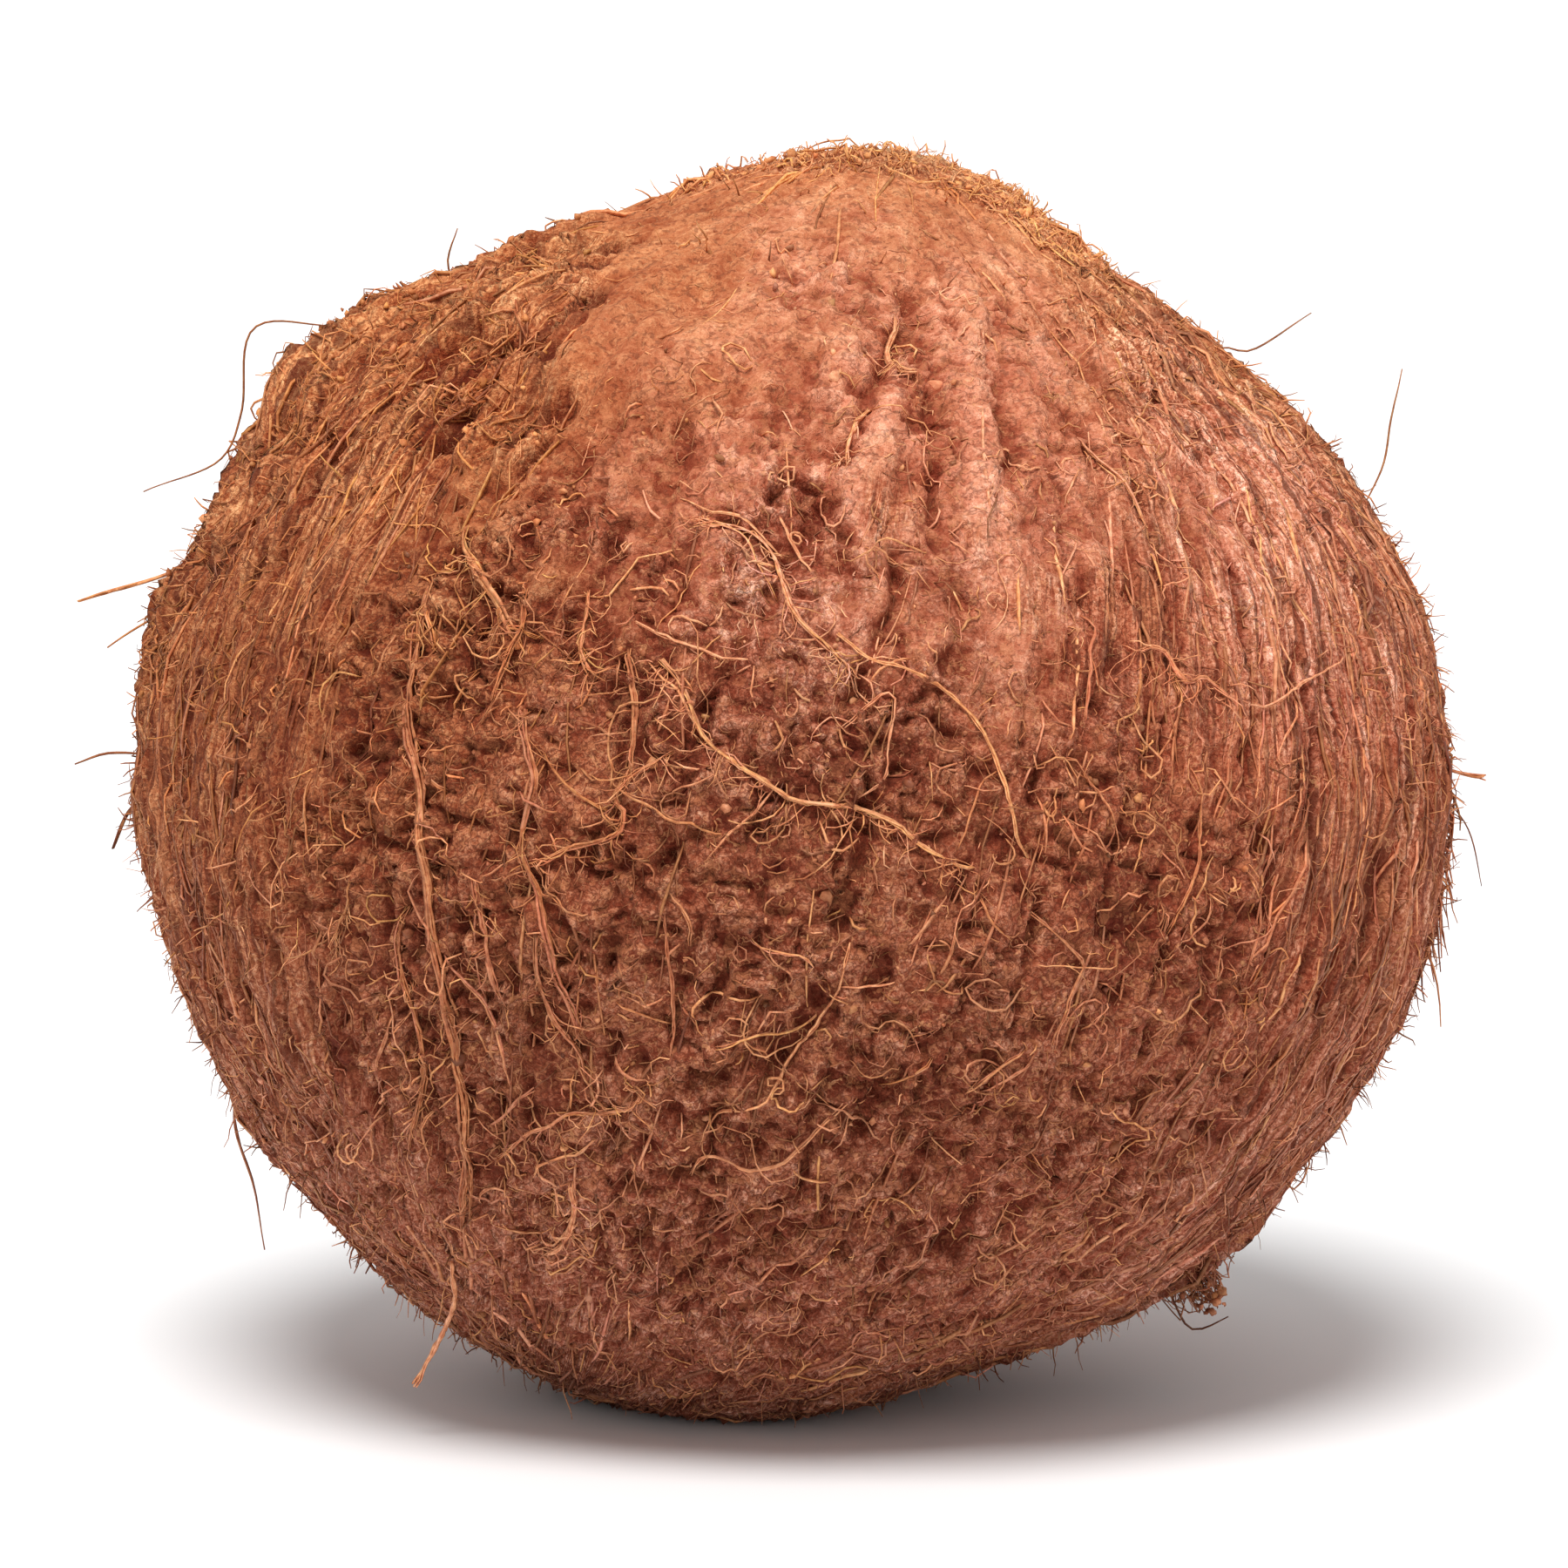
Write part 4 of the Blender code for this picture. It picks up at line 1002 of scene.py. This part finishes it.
def lay_chosen(bundle):
    """The strands that mark this nut, each along its own route, and the wiry hairs that leave it."""
    for route in ROUTES:
        lay_route(bundle, route, 0.45)
        width, _, light, *stops = route
        if width > HAIRY_WIDTH:
            stops = from_degrees(*np.array(stops, float).T)
            share = bundle.random.uniform(0, len(stops) - 1.001, 5 * len(stops))
            first = share.astype(int)
            starts = unit(stops[first] + (stops[first + 1] - stops[first]) * (share - first)[:, None])
            lay_fibres(bundle, starts, length=(1, 4), radius=(0.04, 0.09), steps=4, heading=0.9, bend=0.3,
                       wander=0.3, lift=(0.3, 0.9), root=0.2, bright=0.8 * light, spread=0.25, pale=0.2,
                       free_end=0.7)
    for route in LOOSE_ROUTES:
        lay_route(bundle, route, 0.0)


def new_node(tree, kind):
    return tree.nodes.new("ShaderNode" + kind)


def plug(made, inputs):
    """Puts numbers, colours or signals on a node's inputs, each under its name or number."""
    for name, value in dict(inputs).items():
        if isinstance(value, Signal):
            made.id_data.links.new(value.socket, made.inputs[name])
        else:
            made.inputs[name].default_value = value


class Signal:
    """One output of a shader node. Sums and products of signals are signals too."""

    def __init__(self, made, inputs=(), output=0):
        plug(made, inputs)
        self.tree, self.socket = made.id_data, made.outputs[output]

    def math(self, operation, *others):
        made = new_node(self.tree, "Math")
        made.operation = operation
        return Signal(made, enumerate((self, *others)))

    def __add__(self, other):
        return self.math("ADD", other)

    def __mul__(self, other):
        return self.math("MULTIPLY", other)

    def larger(self, other):
        return self.math("MAXIMUM", other)

    def ranged(self, low, high, to_low=0.0, to_high=1.0):
        """This signal from one range, eased to another and held at its ends."""
        made = new_node(self.tree, "MapRange")
        made.interpolation_type = "SMOOTHSTEP"
        ends = {"From Min": low, "From Max": high, "To Min": to_low, "To Max": to_high}
        return Signal(made, {"Value": self} | ends)

    def lines(self, width, level=0.5):
        """1 along the lines where a noise crosses a level, and 0 away from them."""
        return (self + -level).math("ABSOLUTE").ranged(0.0, width, 1.0, 0.0)

    def deepened(self):
        """The colour to multiply by for this brightness, redder where it is dark."""
        powers = [self.math("POWER", power) for power in DEEPENING]
        return Signal(new_node(self.tree, "CombineColor"), enumerate(powers))

    def mixed(self, other, share, kind="MIX"):
        """This colour with a share of another."""
        made = new_node(self.tree, "Mix")
        made.data_type = "RGBA"
        made.blend_type = kind
        return Signal(made, {0: share, 6: self, 7: other}, 2)

    def scaled(self, size, stretch=(1, 1, 1)):
        """These places in cells of this many mm, times the stretch along each axis."""
        scale = [1 / (size * MM * part) for part in stretch]
        return Signal(new_node(self.tree, "Mapping"), {"Vector": self, "Scale": scale})

    def noise(self, size, stretch=(1, 1, 1), detail=2.0, rough=0.55):
        """Noise at these places, whose bumps are this many mm across, times the stretch along each axis."""
        inputs = {"Vector": self.scaled(size, stretch), "Scale": 1.0, "Detail": detail, "Roughness": rough}
        return Signal(new_node(self.tree, "TexNoise"), inputs, "Fac")

    def warped(self, bend):
        """These places, shifted by a noise."""
        shift = Signal(new_node(self.tree, "TexNoise"), {"Vector": self, "Scale": 1.3, "Detail": 1.0}, "Fac")
        made = new_node(self.tree, "VectorMath")
        made.operation = "MULTIPLY_ADD"
        return Signal(made, enumerate((shift, (bend, -bend, 0.6 * bend), self)))

    def grains(self, feature):
        """The node that breaks these places into grains."""
        made = new_node(self.tree, "TexVoronoi")
        made.feature = feature
        plug(made, {"Vector": self, "Scale": 1.0})
        return made


def new_material(name):
    """A material, and its shader."""
    material = bpy.data.materials.new(name)
    material.use_nodes = True
    return material, material.node_tree.nodes["Principled BSDF"]


def attribute(tree, name, output="Fac"):
    made = new_node(tree, "Attribute")
    made.attribute_name = name
    return Signal(made, output=output)


def object_places(tree):
    return Signal(new_node(tree, "TexCoord"), output="Object")


def pith_material():
    """The skin: its region's tone, broken into crumbs or combed threads of many shades, with shade painted
    into the gaps between them.
    """
    material, shader = new_material("pith")
    tree = material.node_tree
    place = object_places(tree)
    coir = attribute(tree, "coir_place", "Vector")
    combed, matted, flaky = (attribute(tree, name) for name in ("combed", "matted", "flaky"))
    crumbs = place.scaled(CRUMB_SIZE).warped(2.6)
    crumb = crumbs.grains("F1")
    thread = coir.scaled(THREAD_SIZE, THREAD_STRETCH).warped(0.9).grains("F1")
    # Painted shade: dark lines where the crumbs and threads meet.
    crumb_gap_shade = Signal(crumbs.grains("DISTANCE_TO_EDGE"), output="Distance").ranged(0.0, 0.12, 1.0, 0.0)
    thread_gap_shade = Signal(thread, output="Distance").ranged(0.52, 0.72)
    shades = Signal(crumb, output="Color").mixed(Signal(thread, output="Color"), combed)
    separate = new_node(tree, "SeparateColor")
    shade, hue = Signal(separate, {0: shades}), Signal(separate, output=1)
    speck = place.noise(0.42, detail=3.0, rough=0.7)
    grit = place.noise(0.17)
    streak = coir.noise(0.3, (1, 1, 14))
    cloud = place.noise(2.2)
    curls = place.noise(1.2)
    broken = combed + matted
    worn = broken.ranged(0.2, 0.8, 1.0, 0.0)
    # The grains' shades and the specks are the pith's own mottling, but the specks and streaks also raise the
    # bump, so their colour is partly painted shade, darker in the bump's low spots.
    bright = shade.ranged(0.0, 1.0, 0.64, 1.34) * speck.ranged(0.34, 0.66, 0.46, 1.5)
    bright = bright * grit.ranged(0.3, 0.7, 0.82, 1.18)
    bright = (bright + -1.0) * broken.ranged(0.0, 1.0, 0.42, 1.0) + 1.0
    bright = bright * cloud.ranged(0.3, 0.7, 0.84, 1.16)
    bright = bright * (combed * streak.ranged(0.35, 0.65, -0.36, 0.36) + 1.0)
    shaded = attribute(tree, "tone", "Color").mixed(bright.deepened(), 1.0, "MULTIPLY")
    tinted = shaded.mixed(TAN, hue.ranged(0.5, 1.0, 0.0, 0.3))
    # Painted shade in the gaps between crumbs and threads.
    gaps = crumb_gap_shade.mixed(thread_gap_shade, combed) * broken.ranged(0.2, 0.9) * 0.75
    # Painted shadow: dark worm lines beside the paler threads.
    worm_line_shadows = curls.lines(0.03) * broken.ranged(0.0, 1.0, 0.15, 0.65)
    chosen = (flaky * 0.12 + cloud).ranged(0.52, 0.60) * worn.larger(flaky)
    # Painted shade in crescent-shaped cracks.
    crescent_crack_shade = place.noise(2.4, (1, 1, 0.6)).lines(0.034) * (chosen * 0.55)
    flecks = place.noise(0.75, rough=0.65).ranged(0.44, 0.38, 0.0, 0.45) * worn
    # The painted shade of the gaps, worm lines and cracks, with the pith's dark flecks, all take the one dark
    # colour.
    dark = gaps.larger(worm_line_shadows).larger(crescent_crack_shade).larger(flecks)
    threads = curls.lines(0.03, 0.57) * cloud.ranged(0.45, 0.6, 0.0, 0.5)
    height = speck * 1.5 + streak * combed
    plug(shader, {
        "Base Color": tinted.mixed(GAP_SHADE_AND_FLECK_COLOUR, dark).mixed(THREAD_COLOUR, threads),
        "Normal": Signal(new_node(tree, "Bump"), {"Strength": 0.8, "Distance": 0.35 * MM, "Height": height}),
        "Roughness": speck.ranged(0.3, 0.7, 0.95, 0.72),
        "Specular IOR Level": 0.2,
    })
    return material


def fibre_material():
    """Coir fibres: each has its own colour, with darker specks and a dull sheen."""
    material, shader = new_material("fibre")
    tree = material.node_tree
    speck = object_places(tree).noise(0.7, detail=3.0, rough=0.65)
    bright = speck.ranged(0.3, 0.7, 0.62, 1.28)
    plug(shader, {
        "Base Color": attribute(tree, "tone", "Color").mixed(bright.deepened(), 1.0, "MULTIPLY"),
        "Roughness": speck.ranged(0.3, 0.7, 0.75, 0.5),
        "Specular IOR Level": 0.35,
    })
    return material


def turned(direction):
    """The rotation of a camera or light that points in a direction."""
    return Vector(direction).to_track_quat("-Z", "Y").to_euler()


def make_camera():
    away = np.array([0, -math.cos(CAMERA_ELEVATION), math.sin(CAMERA_ELEVATION)])
    data = bpy.data.cameras.new("camera")
    data.sensor_width = SENSOR
    data.lens = CAMERA_DISTANCE * SENSOR / FRAME_WIDTH
    camera = new_object("camera", data)
    camera.location = Vector(CENTRE + CAMERA_AIM_SHIFT + CAMERA_DISTANCE * away)
    camera.rotation_euler = turned(-away)
    bpy.context.scene.camera = camera


def make_studio():
    """A pale floor under plain white light, most of it from above and in front."""
    scene = bpy.context.scene
    scene.view_settings.view_transform = "Standard"
    scene.world = bpy.data.worlds.new("studio")
    scene.world.use_nodes = True
    plug(scene.world.node_tree.nodes["Background"], {"Color": WHITE, "Strength": AMBIENT_LIGHT})
    key = bpy.data.lights.new("key", "SUN")
    key.energy = KEY_LIGHT
    key.angle = KEY_SOFTNESS
    new_object("key", key).rotation_euler = turned(KEY_DIRECTION)
    bpy.ops.mesh.primitive_circle_add(vertices=64, radius=12, fill_type="NGON")
    floor = bpy.context.object
    floor.name = "floor"
    material, shader = new_material("floor")
    plug(shader, {"Base Color": FLOOR_COLOUR, "Roughness": 0.9})
    floor.data.materials.append(material)
    floor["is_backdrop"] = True


def write_sizes():
    boxes = {"cad": CAD_BOX, "visual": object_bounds()}
    {name: [list(corner) for corner in box] for name, box in boxes.items()}


def main():
    make_camera()
    make_studio()
    pith, fibre = pith_material(), fibre_material()
    make_skin(pith)
    for name, seed, lay in (
        ("combed_coir", 101, lay_combed),
        ("matted_coir", 102, lay_matted),
        ("long_strands", 103, lay_chosen),
        ("fuzz", 104, lay_fuzz),
        ("fringe", 105, lay_fringe),
    ):
        bundle = Bundle(seed)
        lay(bundle)
        bundle.make(name, fibre)


main()
write_sizes()
